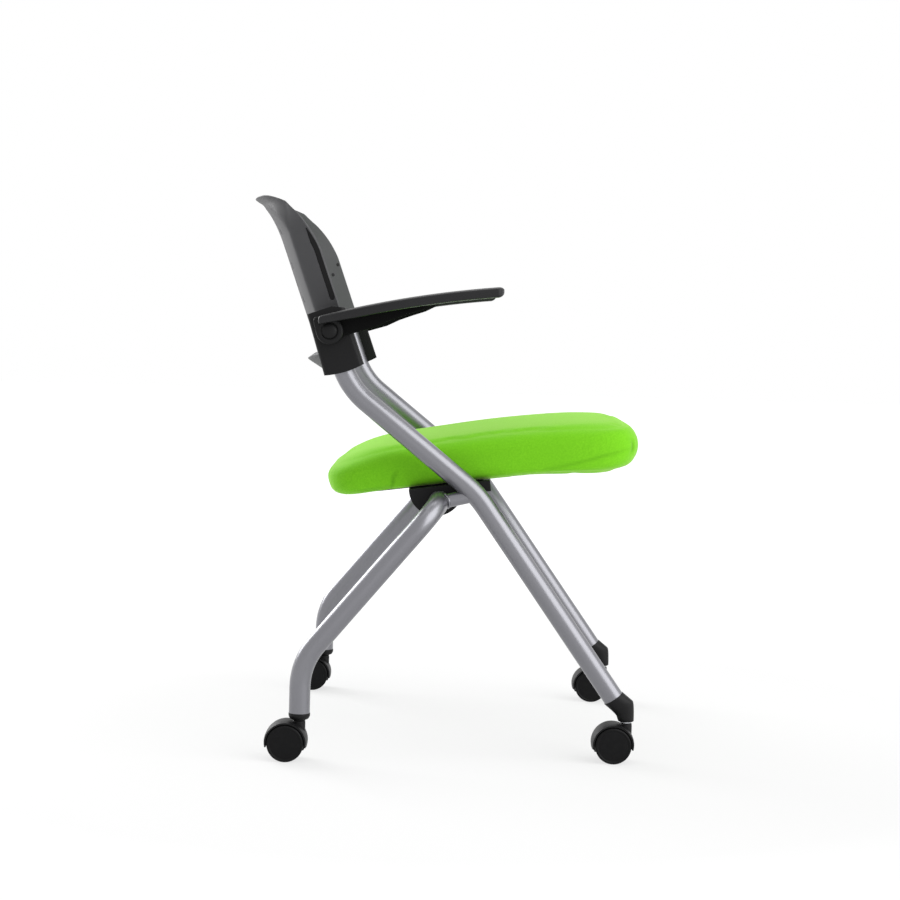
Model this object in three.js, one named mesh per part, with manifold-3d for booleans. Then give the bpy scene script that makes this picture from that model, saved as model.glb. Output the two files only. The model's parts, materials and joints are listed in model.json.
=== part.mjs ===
// Nesting chair: a bent-tube frame on four twin-wheel casters, a moulded back shell between the
// uprights, two arms that flip up, and an upholstered seat that flips up so that chairs nest.
// Millimetres. X runs across the chair, Y from front (-Y) to rear (+Y), Z up from the floor.
// The sitter faces -Y, so the right side of the chair is at -X.
import * as THREE from 'three';
import { mergeVertices } from 'three/addons/utils/BufferGeometryUtils.js';
import { ConvexGeometry } from 'three/addons/geometries/ConvexGeometry.js';
import Module from 'manifold-3d';

const wasm = await Module();
wasm.setup();

// Fits and faceting
const fit = 0.3;
const overrun = 2;
const weldTolerance = 1e-4;
const tubeSides = 20;
const boreSides = 10;
const arcStep = THREE.MathUtils.degToRad(9);

// Steel tube stock
const tubeRadius = 14.3;
const tubeWall = 1.8;
const crossTubeRadius = 11;
const crossTubeWall = 1.5;
const linkTubeRadius = 9.5;
const linkTubeWall = 1.5;

// Side frame: the knee is where the seat run turns into the front leg, the neck is where it
// turns up into the back upright
const mainHalfSpacing = 238;
const kneeForward = 47.3;
const kneeHeight = 364.5;
const neckHeight = 506.7;
const uprightLength = 95;
const frontLegEndHeight = 88.4;
const frontLegAngle = THREE.MathUtils.degToRad(54.7);
const seatRunAngle = THREE.MathUtils.degToRad(38.6);
const backLean = THREE.MathUtils.degToRad(19.5);
const neckBendRadius = 105;
const kneeBendRadius = 150;

// Rear leg frame: one tube bent into a U, with its crossbar behind and below the knee
const rearSplay = 42;
const rearHalfSpacing = mainHalfSpacing + rearSplay;
const crossbarSetback = 51.8;
const crossbarDrop = 12.5;
const rearFootBack = 186.5;
const rearBendHeight = 133;
const rearBendRadius = 90;
const crossbarBendRadius = 50;

// Casters
const wheelRadius = 25;
const wheelWidth = 19.5;
const wheelEdgeRound = 2.2;
const wheelBoreDepth = 14;
const wheelSegments = 24;
const casterTrail = 17.5;
const casterMountHeight = 56.5;
const webThickness = 6;
const axleRadius = 3;
const axleSides = 10;
const fenderGap = 1.2;
const fenderThickness = 3.4;
const fenderHalfWidth = 20.5;
const fenderDroop = THREE.MathUtils.degToRad(6);
const webDroop = THREE.MathUtils.degToRad(26);
const bossRadius = 8.5;
const bossHeadroom = 2.6;
const stemRadius = 5.5;
const stemInsert = 22;
const stemEngagement = 6.5;
const collarRadius = 7.6;
const collarThickness = 1.6;

// Plastic tube ends
const ferruleFlange = 5.5;
const ferrulePlugLength = 26;
const socketSetForward = 18;
const socketTopRadius = 15;
const socketFootRadius = 11;
const socketFootTop = 82;
const spigotLength = 24;

// Back bracket, measured along the upright from the neck and square to it
const bracketBottom = 25;
const bracketTop = 112;
const bracketFront = 29;
const bracketRear = 23.3;
const bracketFlare = 3.7;
const bracketWall = 3.7;
const bracketInnerOffset = 2;
const bracketCornerRadius = 7;
const bracketChamferDepth = 15;
const bracketChamferDrop = 6.5;
const earThickness = 6;
const earScrewMargin = 7;
const earMargin = 8;

// Back shell, in the same measures
const shellThickness = 4;
const shellEdgeShare = 0.35;
const shellUprightGap = 16;
const shellHalfWidth = mainHalfSpacing - shellUprightGap;
const shellCreaseInset = 17;
const shellBottom = 34;
const shellTop = 297.8;
const shellRearOffset = 37.4;
const shellDish = 24.4;
const shellDishPower = 2.24;
const wingDepth = 32.4;
const wingStart = 98;
const wingRise = 9;
const wingFadeStart = 190;
const wingFadeEnd = 294;
const wingFadePower = 1.5;
const topCornerRadius = 79.5;
const topArch = 16;
const topLipSweep = 19.6;
const topLipFade = 0.4;
const topLipPower = 3.63;
const topLipHeight = 95;
const bottomLipReach = 18;
const bottomLipHeight = 27.5;
const bottomLipDrop = 0.5;
const bottomLipInset = 26;
const bottomLipHalfWidth = shellHalfWidth - bottomLipInset;
const bottomLipTaperShare = 0.5;
const slotTop = 228;
const slotBottom = 121;
const slotWidth = 7;
const slotDepth = 2.2;
const slotEdgeMargin = 1.5;
const backScrewInset = 8;
const backScrewEndMargin = 15;
const screwShankRadius = 2;
const screwHeadRadius = 4.6;
const screwHeadHeight = 2.6;
const backScrewLength = 10;

// Arms, measured from the pivot
const armPivotUp = 81.3;
const armHubRadius = 18.5;
const armHubWidth = 17.5;
const armRearReach = 15;
const armFrontReach = 234;
const armRearRise = 19.8;
const armTipRise = 65.4;
const armRearSlope = 0.275;
const armThickness = 14.5;
const armRearWidth = 30;
const armWidth = 48;
const armEndRound = 6;
const armEndShrinkShare = 0.45;
const armCrownShare = 0.16;
const armChamferShare = 0.22;
const armSwellShare = 0.5;
const armRearThinShare = 0.2;
const armWebThickness = 10;
const armBoltRadius = 4;
const armCapRadius = 10.5;
const armCapThickness = 3;

// Lower edge of the arm's web, as shares of the arm's front reach and of its tip's rise
const armWebShares = [
  [0.051, -0.183], [0.088, -0.092], [0.261, 0.098], [0.346, 0.248], [0.434, 0.365],
  [0.521, 0.471], [0.607, 0.627],
];

// Seat, measured from the crossbar's axis: forward along the underside and up square to it
const seatSideGap = 20;
const seatHalfWidth = mainHalfSpacing - seatSideGap;
const seatFrontReach = 299.4;
const seatRearReach = 163.5;
const seatThickness = 68.4;
const hubCover = 6.6;
const saddleCover = 4.6;
const seatCoreShare = 0.34;
const seatRearTaperShare = 0.1;
const seatPinchShare = 0.014;
const seatHeightPower = 6;
const seatLengthPower = 7;
const panThickness = 6;
const panSideInset = 32;
const panHalfWidth = seatHalfWidth - panSideInset;
const panFrontInset = 52;
const panRearInset = 34;
const panCornerRadius = 60;
const seatBracketInset = 37;
const seatBracketHalfSpacing = mainHalfSpacing - seatBracketInset;
const seatBracketWidth = 26;
const seatBracketFlange = 27;
const flangeThickness = 5.4;
const hubDiscRadius = 37.5;
const hubDiscRise = 17.3;
const hubDiscSetback = 2.4;
const saddleFrontReach = 73;
const saddleJawThickness = 9;
const saddleDepth = 14.6;
const beamThickness = 8;
const seatScrewFront = 29;
const seatScrewRear = 26;
const seatScrewLength = 10;

// Outline of the cushion's side, as shares of its length from the rear and of its thickness
const cushionSideShares = [
  [0.067, -0.067], [0.207, -0.059], [0.536, -0.04], [0.71, -0.064], [0.889, -0.14],
  [0.935, -0.097], [0.968, 0.087], [0.981, 0.354], [0.973, 0.592], [0.95, 0.756],
  [0.879, 0.854], [0.774, 0.93], [0.561, 0.97], [0.35, 0.933], [0.19, 0.877],
  [0.092, 0.72], [0.022, 0.493], [0.016, 0.232], [0.031, 0.015],
];
const cushionStationShares = [0, 0.22, 0.44, 0.62, 0.76, 0.86, 0.93, 0.97, 0.99, 0.998];
const cushionSidePoints = 38;

// Colours, roughness and metalness
const silverPaint = { color: 0x9b9ba0, roughness: 0.38, metalness: 0.75 };
const blackPlastic = { color: 0x2b2b2c, roughness: 0.55, metalness: 0 };
const greyPlastic = { color: 0x4c4c4e, roughness: 0.5, metalness: 0 };
const blackTyre = { color: 0x1c1c1d, roughness: 0.6, metalness: 0 };
const greenFabric = { color: 0x76cc1a, roughness: 0.9, metalness: 0 };
const zincSteel = { color: 0xb4b5b8, roughness: 0.32, metalness: 1 };
const darkBoard = { color: 0x1f1f20, roughness: 0.8, metalness: 0 };

// Places worked out from the sizes above
const tan = Math.tan;
const knee = new THREE.Vector2(-kneeForward, kneeHeight);
const neck = new THREE.Vector2(knee.x + (neckHeight - kneeHeight) / tan(seatRunAngle), neckHeight);
const uprightDirection = new THREE.Vector2(Math.sin(backLean), Math.cos(backLean));
const uprightEnd = neck.clone().addScaledVector(uprightDirection, uprightLength);
const frontLegEnd = new THREE.Vector2(
  knee.x - (kneeHeight - frontLegEndHeight) / tan(frontLegAngle), frontLegEndHeight);
const crossbar = new THREE.Vector2(knee.x + crossbarSetback, knee.y - crossbarDrop);
const frontStemY = frontLegEnd.x - socketSetForward;
const armPivot = neck.clone().addScaledVector(uprightDirection, armPivotUp);
const bracketOuter = tubeRadius + bracketWall;

// Solid and mesh helpers

function signedVolume(geometry) {
  const p = geometry.attributes.position;
  const a = new THREE.Vector3();
  const b = new THREE.Vector3();
  const c = new THREE.Vector3();
  let sum = 0;
  for (let i = 0; i < geometry.index.count; i += 3) {
    a.fromBufferAttribute(p, geometry.index.getX(i));
    b.fromBufferAttribute(p, geometry.index.getX(i + 1));
    c.fromBufferAttribute(p, geometry.index.getX(i + 2));
    sum += a.dot(b.cross(c));
  }
  return sum / 6;
}

// Merged copy of a geometry with positions only and its faces pointing out
function welded(geometry) {
  const plain = geometry.clone();
  for (const name of Object.keys(plain.attributes)) {
    if (name !== 'position') plain.deleteAttribute(name);
  }
  const merged = mergeVertices(plain, weldTolerance);
  if (signedVolume(merged) < 0) merged.index.array.reverse();
  return merged;
}

function toSolid(geometry) {
  const mesh = welded(geometry);
  return new wasm.Manifold(new wasm.Mesh({
    numProp: 3,
    vertProperties: new Float32Array(mesh.attributes.position.array),
    triVerts: new Uint32Array(mesh.index.array),
  }));
}

function toGeometry(solid) {
  const mesh = solid.getMesh();
  const geometry = new THREE.BufferGeometry();
  geometry.setAttribute('position', new THREE.BufferAttribute(new Float32Array(mesh.vertProperties), 3));
  geometry.setIndex(new THREE.BufferAttribute(new Uint32Array(mesh.triVerts), 1));
  geometry.computeVertexNormals();
  return geometry;
}

function join(...geometries) {
  return toGeometry(geometries.map(toSolid).reduce((sum, next) => sum.add(next)));
}

function cut(geometry, ...cutters) {
  return toGeometry(cutters.map(toSolid).reduce((rest, next) => rest.subtract(next), toSolid(geometry)));
}

function mirrored(geometry, side) {
  if (side < 0) return geometry;
  const copy = geometry.clone().applyMatrix4(new THREE.Matrix4().makeScale(-1, 1, 1));
  copy.index.array.reverse();
  copy.computeVertexNormals();
  return copy;
}

function polygon(radius, sides) {
  return Array.from({ length: sides }, (_, i) => {
    const angle = (2 * Math.PI * i) / sides;
    return new THREE.Vector2(radius * Math.cos(angle), radius * Math.sin(angle));
  });
}

// Round bar between two points
function bar(start, end, radius, sides = tubeSides) {
  const length = start.distanceTo(end);
  const geometry = new THREE.CylinderGeometry(radius, radius, length, sides);
  const turn = new THREE.Quaternion().setFromUnitVectors(
    new THREE.Vector3(0, 1, 0), end.clone().sub(start).normalize());
  geometry.applyQuaternion(turn);
  const middle = start.clone().add(end).multiplyScalar(0.5);
  return geometry.translate(middle.x, middle.y, middle.z);
}

function barAlongX(radius, from, to, y, z, sides = tubeSides) {
  return bar(new THREE.Vector3(from, y, z), new THREE.Vector3(to, y, z), radius, sides);
}

function barAlongZ(radius, x, y, from, to, sides = tubeSides) {
  return bar(new THREE.Vector3(x, y, from), new THREE.Vector3(x, y, to), radius, sides);
}

function boxBetween(low, high) {
  const size = new THREE.Vector3().subVectors(high, low);
  const middle = new THREE.Vector3().addVectors(low, high).multiplyScalar(0.5);
  return new THREE.BoxGeometry(size.x, size.y, size.z).translate(middle.x, middle.y, middle.z);
}

// Side outline, drawn in Y and Z, given its width along X
function sidePrism(shape, fromX, toX, curveSegments) {
  const geometry = new THREE.ExtrudeGeometry(shape, {
    depth: toX - fromX, bevelEnabled: false, curveSegments,
  });
  const basis = new THREE.Matrix4().makeBasis(
    new THREE.Vector3(0, 1, 0), new THREE.Vector3(0, 0, 1), new THREE.Vector3(1, 0, 0));
  return geometry.applyMatrix4(basis).translate(fromX, 0, 0);
}

// Curve through straight runs and round bends, with a station only where the tube turns
class BentPath extends THREE.Curve {
  constructor(corners, radii) {
    super();
    this.stations = [];
    const runs = corners.slice(1).map((corner, i) => corner.clone().sub(corners[i]).normalize());
    this.add(corners[0], runs[0]);
    for (let i = 1; i < corners.length - 1; i++) this.bend(corners[i], runs[i - 1], runs[i], radii[i - 1]);
    this.add(corners[corners.length - 1], runs[runs.length - 1]);
  }

  add(point, tangent) {
    this.stations.push({ point: point.clone(), tangent: tangent.clone() });
  }

  bend(corner, before, after, radius) {
    const angle = before.angleTo(after);
    const start = corner.clone().addScaledVector(before, -radius * tan(angle / 2));
    const inward = after.clone().addScaledVector(before, -before.dot(after)).normalize();
    const count = Math.max(2, Math.ceil(angle / arcStep));
    for (let k = 0; k <= count; k++) {
      const turned = (angle * k) / count;
      const point = start.clone().addScaledVector(before, radius * Math.sin(turned));
      point.addScaledVector(inward, radius * (1 - Math.cos(turned)));
      const tangent = before.clone().multiplyScalar(Math.cos(turned));
      this.add(point, tangent.addScaledVector(inward, Math.sin(turned)));
    }
  }

  getPoint(t, target = new THREE.Vector3()) {
    const place = t * (this.stations.length - 1);
    const i = Math.min(Math.floor(place), this.stations.length - 2);
    return target.lerpVectors(this.stations[i].point, this.stations[i + 1].point, place - i);
  }

  getPointAt(t, target) {
    return this.getPoint(t, target);
  }

  getTangent(t, target = new THREE.Vector3()) {
    return target.copy(this.stations[Math.round(t * (this.stations.length - 1))].tangent);
  }

  getTangentAt(t, target) {
    return this.getTangent(t, target);
  }
}

// Tube along a path; with a wall of zero it is a solid bar
function tubeAlong(path, radius, wall = 0) {
  const shape = new THREE.Shape(polygon(radius, tubeSides));
  if (wall > 0) shape.holes.push(new THREE.Path(polygon(radius - wall, boreSides)));
  return new THREE.ExtrudeGeometry(shape, {
    steps: path.stations.length - 1, bevelEnabled: false, extrudePath: path,
  });
}

// Closed skin through rings of equally many points, with a fan over each end
function loft(rings) {
  const count = rings[0].length;
  const positions = [];
  const index = [];
  const push = (v) => positions.push(v.x, v.y, v.z) / 3 - 1;
  for (const ring of rings) ring.forEach(push);
  for (let r = 0; r < rings.length - 1; r++) {
    for (let i = 0; i < count; i++) {
      const a = r * count + i;
      const b = r * count + ((i + 1) % count);
      index.push(a, b, a + count, b, b + count, a + count);
    }
  }
  const cap = (ring, first, flip) => {
    const middle = ring.reduce((sum, v) => sum.add(v), new THREE.Vector3()).divideScalar(count);
    const centre = push(middle);
    for (let i = 0; i < count; i++) {
      const pair = [first + i, first + ((i + 1) % count)];
      if (flip) pair.reverse();
      index.push(centre, pair[1], pair[0]);
    }
  };
  cap(rings[0], 0, false);
  cap(rings[rings.length - 1], (rings.length - 1) * count, true);
  const geometry = new THREE.BufferGeometry();
  geometry.setAttribute('position', new THREE.Float32BufferAttribute(positions, 3));
  geometry.setIndex(index);
  return geometry;
}

function addPart(group, name, geometry, finish) {
  const body = welded(geometry);
  body.computeVertexNormals();
  const mesh = new THREE.Mesh(body, new THREE.MeshStandardMaterial(finish));
  mesh.name = name;
  group.add(mesh);
  return mesh;
}

const sides = [{ label: 'right', side: -1 }, { label: 'left', side: 1 }];
const at = (x, profile) => new THREE.Vector3(x, profile.x, profile.y);

// Frame paths

function mainPath(side) {
  const x = side * mainHalfSpacing;
  return new BentPath(
    [at(x, uprightEnd), at(x, neck), at(x, knee), at(x, frontLegEnd)], [neckBendRadius, kneeBendRadius]);
}

function rearPath() {
  const bend = new THREE.Vector2(rearFootBack, rearBendHeight);
  const foot = new THREE.Vector2(rearFootBack, casterMountHeight + ferruleFlange);
  const x = rearHalfSpacing;
  return new BentPath(
    [at(-x, foot), at(-x, bend), at(-x, crossbar), at(x, crossbar), at(x, bend), at(x, foot)],
    [rearBendRadius, crossbarBendRadius, crossbarBendRadius, rearBendRadius]);
}

// Each main tube is one bent length: upright, seat run and front leg, drilled for the arm's bolt
function mainTube(side) {
  const tube = tubeAlong(mainPath(side), tubeRadius, tubeWall);
  const inner = side * (mainHalfSpacing - tubeRadius - overrun);
  const outer = side * (mainHalfSpacing + tubeRadius + overrun);
  return cut(tube, barAlongX(armBoltRadius + fit, inner, outer, armPivot.x, armPivot.y, boreSides));
}

function crossTube() {
  const [x, y, z] = [mainHalfSpacing, knee.x, knee.y];
  const outside = barAlongX(crossTubeRadius, -x, x, y, z);
  const bore = barAlongX(crossTubeRadius - crossTubeWall, -x - overrun, x + overrun, y, z, boreSides);
  const coping = sides.map(({ side }) => tubeAlong(mainPath(side), tubeRadius + fit));
  return cut(outside, bore, ...coping);
}

// Short tube from the rear frame's crossbar to the knee, coped round both
function linkTube(side) {
  const start = at(side * mainHalfSpacing, crossbar);
  const end = at(side * mainHalfSpacing, knee);
  const beyond = end.clone().sub(start).normalize().multiplyScalar(overrun);
  const outside = bar(start, end, linkTubeRadius);
  const bore = bar(start.clone().sub(beyond), end.clone().add(beyond), linkTubeRadius - linkTubeWall, boreSides);
  const rearCoping = tubeAlong(rearPath(), tubeRadius + fit);
  const frontCoping = tubeAlong(mainPath(side), tubeRadius + fit);
  return cut(outside, bore, rearCoping, frontCoping);
}

// Plastic plug and flange in the foot of each rear leg, bored for the caster's stem
function rearFerrule(side) {
  const x = side * rearHalfSpacing;
  const y = rearFootBack;
  const top = casterMountHeight + ferruleFlange - fit;
  const flange = barAlongZ(tubeRadius, x, y, casterMountHeight, top);
  const plugRadius = (tubeRadius - tubeWall) * Math.cos(Math.PI / boreSides) - fit;
  const plug = barAlongZ(plugRadius, x, y, casterMountHeight, top + ferrulePlugLength, boreSides);
  return cut(join(flange, plug), stemBore(x, y));
}

function stemBore(x, y) {
  const top = casterMountHeight + stemInsert + fit;
  return barAlongZ(stemRadius + fit, x, y, casterMountHeight - overrun, top, boreSides);
}

// Angled plastic socket between the slanting front leg and the upright caster stem
function frontSocket(side) {
  const x = side * mainHalfSpacing;
  const legAxis = new THREE.Vector3(0, -Math.cos(frontLegAngle), -Math.sin(frontLegAngle));
  const legEnd = at(x, frontLegEnd).addScaledVector(legAxis, fit);
  const across = new THREE.Vector3(1, 0, 0);
  const upright = new THREE.Vector3().crossVectors(legAxis, across);
  const hull = [];
  for (const p of polygon(socketTopRadius, tubeSides)) {
    const rim = legEnd.clone().addScaledVector(across, p.x).addScaledVector(upright, p.y);
    hull.push(rim, rim.clone().addScaledVector(legAxis, overrun));
  }
  for (const p of polygon(socketFootRadius, tubeSides)) {
    hull.push(new THREE.Vector3(x + p.x, frontStemY + p.y, casterMountHeight));
    hull.push(new THREE.Vector3(x + p.x, frontStemY + p.y, socketFootTop));
  }
  const spigotRadius = (tubeRadius - tubeWall) * Math.cos(Math.PI / boreSides) - fit;
  const spigotEnd = legEnd.clone().addScaledVector(legAxis, -spigotLength);
  const spigot = bar(spigotEnd, legEnd.clone().addScaledVector(legAxis, overrun), spigotRadius, boreSides);
  return cut(join(new ConvexGeometry(hull), spigot), stemBore(x, frontStemY));
}

// Casters, drawn about their stem with the wheels trailing behind it
function casterHood() {
  const inner = wheelRadius + fenderGap;
  const outer = inner + fenderThickness;
  const bodyArc = new THREE.Shape();
  bodyArc.absarc(casterTrail, wheelRadius, outer, -webDroop, Math.PI + webDroop, false);
  const body = sidePrism(bodyArc, -fenderHalfWidth, fenderHalfWidth, 14);
  const bossTop = casterMountHeight - collarThickness - fit;
  const boss = barAlongZ(bossRadius, 0, 0, wheelRadius + bossHeadroom, bossTop);
  const axle = barAlongX(axleRadius + fit, -fenderHalfWidth, fenderHalfWidth, casterTrail, wheelRadius, axleSides);
  const cavities = [-1, 1].map((end) => barAlongX(
    inner, end * webThickness / 2, end * (fenderHalfWidth + overrun), casterTrail, wheelRadius, wheelSegments));
  const tipHeight = wheelRadius - inner * Math.sin(fenderDroop);
  const beside = webThickness / 2;
  const beyond = fenderHalfWidth + overrun;
  const reach = outer + overrun;
  const belowTips = [[beside, beyond], [-beyond, -beside]].map(([left, right]) => boxBetween(
    new THREE.Vector3(left, casterTrail - reach, -overrun),
    new THREE.Vector3(right, casterTrail + reach, tipHeight)));
  const stem = barAlongZ(
    stemRadius + fit, 0, 0, bossTop - stemEngagement - fit, casterMountHeight, boreSides);
  return cut(join(body, boss), axle, stem, ...cavities, ...belowTips);
}

function casterStem() {
  const collarTop = casterMountHeight - fit / 2;
  const collarBase = collarTop - collarThickness + fit;
  const bottom = collarBase - stemEngagement;
  const pin = barAlongZ(stemRadius, 0, 0, bottom, casterMountHeight + stemInsert, boreSides);
  return join(pin, barAlongZ(collarRadius, 0, 0, collarBase, collarTop));
}

function casterAxle() {
  const reach = webThickness / 2 + fit + wheelBoreDepth - fit;
  return barAlongX(axleRadius, -reach, reach, casterTrail, wheelRadius, axleSides);
}

// Wheel with a closed outer face and a blind bore for the axle, standing on one of its flats
function casterWheel(end) {
  const inside = webThickness / 2 + fit;
  const outside = inside + wheelWidth;
  const bore = axleRadius + fit;
  const round = wheelEdgeRound;
  const corner = wheelRadius / Math.cos(Math.PI / wheelSegments);
  const profile = [
    [0, outside], [corner - round, outside], [corner, outside - round],
    [corner, inside + round], [corner - round, inside], [bore, inside],
    [bore, inside + wheelBoreDepth], [0, inside + wheelBoreDepth],
  ].map(([radius, along]) => new THREE.Vector2(radius, along));
  const wheel = new THREE.LatheGeometry(profile, wheelSegments, Math.PI / wheelSegments);
  wheel.rotateZ(-end * Math.PI / 2);
  return wheel.translate(0, casterTrail, wheelRadius);
}

function addCaster(group, name, x, y) {
  const caster = new THREE.Group();
  caster.position.set(x, y, 0);
  addPart(caster, `${name}_stem`, casterStem(), zincSteel);
  addPart(caster, `${name}_hood`, casterHood(), blackPlastic);
  addPart(caster, `${name}_axle`, casterAxle(), zincSteel);
  addPart(caster, `${name}_wheel_right`, casterWheel(-1), blackTyre);
  addPart(caster, `${name}_wheel_left`, casterWheel(1), blackTyre);
  group.add(caster);
}

// Back bracket and shell, drawn along the upright: Z from the neck, Y square to it, rear positive

function localBoltHole(radius) {
  const reach = mainHalfSpacing + bracketOuter + overrun;
  return barAlongX(radius, -reach, -mainHalfSpacing + tubeRadius, 0, armPivotUp, boreSides);
}

// Tube path in the bracket's own axes, for the channel that the bracket fits over
function localMainPath() {
  const back = (v) => v.sub(at(0, neck)).applyAxisAngle(new THREE.Vector3(1, 0, 0), backLean);
  const corners = [uprightEnd, neck, knee].map((p) => back(at(-mainHalfSpacing, p)));
  const along = corners[0].clone().sub(corners[1]).normalize();
  corners[0].addScaledVector(along, fit);
  return new BentPath(corners, [neckBendRadius]);
}

const earFront = shellRearOffset - shellDish + fit;
const earRear = earFront + earThickness;

function screwPlaces() {
  const low = bracketBottom + earMargin + backScrewEndMargin;
  const high = bracketTop - earMargin - backScrewEndMargin;
  return [low, high];
}

// Moves the rear of the bracket back towards its bottom
function flareRear(block) {
  const p = block.attributes.position;
  for (let i = 0; i < p.count; i++) {
    const lowness = (bracketTop - p.getZ(i)) / (bracketTop - bracketBottom);
    p.setY(i, p.getY(i) + bracketFlare * lowness * Math.max(0, p.getY(i) / bracketRear));
  }
}

function backBracket() {
  const outer = -mainHalfSpacing - bracketOuter;
  const inner = -mainHalfSpacing + bracketInnerOffset;
  const r = bracketCornerRadius;
  const outline = new THREE.Shape();
  outline.moveTo(inner, -bracketFront);
  outline.lineTo(inner, bracketRear);
  outline.lineTo(outer + r, bracketRear);
  outline.absarc(outer + r, bracketRear - r, r, Math.PI / 2, Math.PI, false);
  outline.lineTo(outer, -bracketFront + r);
  outline.absarc(outer + r, -bracketFront + r, r, Math.PI, Math.PI * 1.5, false);
  const block = new THREE.ExtrudeGeometry(outline, {
    depth: bracketTop - bracketBottom, bevelEnabled: false, curveSegments: 4,
  }).translate(0, 0, bracketBottom);
  flareRear(block);
  const corner = new THREE.Shape();
  corner.moveTo(-bracketFront + bracketChamferDepth, bracketTop);
  corner.lineTo(-bracketFront - bracketChamferDepth, bracketTop - 2 * bracketChamferDrop);
  corner.lineTo(-bracketFront - bracketChamferDepth, bracketTop + bracketChamferDrop);
  const chamfer = sidePrism(corner, outer - overrun, inner + overrun, 1);
  const ear = boxBetween(
    new THREE.Vector3(inner - overrun, earFront, bracketBottom + earMargin),
    new THREE.Vector3(screwX() + earScrewMargin, earRear, bracketTop - earMargin));
  const channel = tubeAlong(localMainPath(), tubeRadius + fit);
  const screwHoles = screwPlaces().map((z) => screwShank(screwShankRadius + fit, z, overrun));
  return cut(join(block, ear), chamfer, channel, localBoltHole(armBoltRadius + fit), ...screwHoles);
}

function screwX() {
  return -(shellHalfWidth - backScrewInset);
}

function screwShank(radius, z, extra) {
  const start = new THREE.Vector3(screwX(), earRear + extra, z);
  const end = new THREE.Vector3(screwX(), earRear + fit - backScrewLength - extra, z);
  return bar(start, end, radius, boreSides);
}

function backScrew(z) {
  const seat = earRear + fit;
  const head = bar(
    new THREE.Vector3(screwX(), seat, z), new THREE.Vector3(screwX(), seat + screwHeadHeight, z),
    screwHeadRadius, boreSides);
  return join(head, screwShank(screwShankRadius, z, fit));
}

const smooth = (t) => {
  const s = THREE.MathUtils.clamp(t, 0, 1);
  return s * s * (3 - 2 * s);
};

// Rear face of the shell: across runs from -1 to 1, and up is a height along the upright
function shellPoint(across, up) {
  const crease = shellHalfWidth - shellCreaseInset;
  let x = across * shellHalfWidth;
  let z = up;
  const cornerX = shellHalfWidth - topCornerRadius;
  const cornerZ = shellTop - topCornerRadius;
  if (Math.abs(x) > cornerX && z > cornerZ) {
    const p = (Math.abs(x) - cornerX) / topCornerRadius;
    const q = (z - cornerZ) / topCornerRadius;
    x = Math.sign(x) * (cornerX + topCornerRadius * p * Math.sqrt(1 - (q * q) / 2));
    z = cornerZ + topCornerRadius * q * Math.sqrt(1 - (p * p) / 2);
  }
  const share = x / shellHalfWidth;
  z -= topArch * share * share * Math.max(0, 1 - (shellTop - up) / topLipHeight);
  const lip = Math.max(0, 1 - (shellTop - z) / topLipHeight) ** topLipPower;
  const swept = topLipSweep * lip * (1 - topLipFade * share * share);
  const dish = shellDish * Math.min(1, Math.abs(across) * shellHalfWidth / crease) ** shellDishPower;
  const outside = Math.max(0, Math.abs(across) * shellHalfWidth - crease) / shellCreaseInset;
  const fading = Math.max(0, (z - wingFadeStart) / (wingFadeEnd - wingFadeStart)) ** wingFadePower;
  const risen = smooth((up - wingStart) / wingRise);
  const wing = wingDepth * outside * Math.max(0, 1 - fading) * risen;
  const y = shellRearOffset + swept - dish - wing;
  return new THREE.Vector3(x, y, z);
}

function shellNormal(across, up) {
  const step = 0.004;
  const rise = step * (shellTop - shellBottom);
  const e = shellPoint(Math.min(1, across + step), up).sub(shellPoint(Math.max(-1, across - step), up));
  const n = shellPoint(across, Math.min(shellTop, up + rise)).sub(
    shellPoint(across, Math.max(shellBottom, up - rise)));
  return e.cross(n).normalize();
}

// Lofted shell: a dished panel whose sides turn forward as wings and whose top sweeps back
function shellSkin() {
  const creaseShare = 1 - shellCreaseInset / shellHalfWidth;
  const halfShares = [0, 0.17, 0.34, 0.5, 0.65, 0.79, creaseShare, creaseShare + (1 - creaseShare) * 0.34,
    creaseShare + (1 - creaseShare) * 0.67, 1];
  const columns = [...halfShares.slice(1).reverse().map((s) => -s), ...halfShares];
  const wingTop = wingStart + wingRise;
  const rows = [shellBottom, (shellBottom + wingStart) / 2, wingStart, (wingStart + wingTop) / 2, wingTop];
  const upperRows = 13;
  for (let i = 1; i <= upperRows; i++) rows.push(wingTop + ((shellTop - wingTop) * i) / upperRows);
  const rear = rows.map((up) => columns.map((across) => shellPoint(across, up)));
  const kept = rows.map((up) => 1 - (1 - shellEdgeShare) * Math.max(0, 1 - (shellTop - up) / topLipHeight) ** 3);
  const front = rows.map((up, r) => columns.map((across, c) => (
    rear[r][c].clone().addScaledVector(shellNormal(across, up), shellThickness * kept[r]))));
  const positions = [];
  const index = [];
  for (const grid of [rear, front]) grid.flat().forEach((v) => positions.push(v.x, v.y, v.z));
  const w = columns.length;
  const skin = rows.length * w;
  const quad = (a, b, c, d) => index.push(a, b, c, a, c, d);
  for (let r = 0; r < rows.length - 1; r++) {
    for (let c = 0; c < w - 1; c++) {
      const a = r * w + c;
      quad(a, a + 1, a + w + 1, a + w);
      quad(skin + a + w, skin + a + w + 1, skin + a + 1, skin + a);
    }
  }
  const border = [];
  for (let c = 0; c < w - 1; c++) border.push(c);
  for (let r = 0; r < rows.length - 1; r++) border.push(r * w + w - 1);
  for (let c = w - 1; c > 0; c--) border.push((rows.length - 1) * w + c);
  for (let r = rows.length - 1; r > 0; r--) border.push(r * w);
  border.forEach((a, i) => {
    const b = border[(i + 1) % border.length];
    quad(b, a, skin + a, skin + b);
  });
  const geometry = new THREE.BufferGeometry();
  geometry.setAttribute('position', new THREE.Float32BufferAttribute(positions, 3));
  geometry.setIndex(index);
  return geometry;
}

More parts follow.
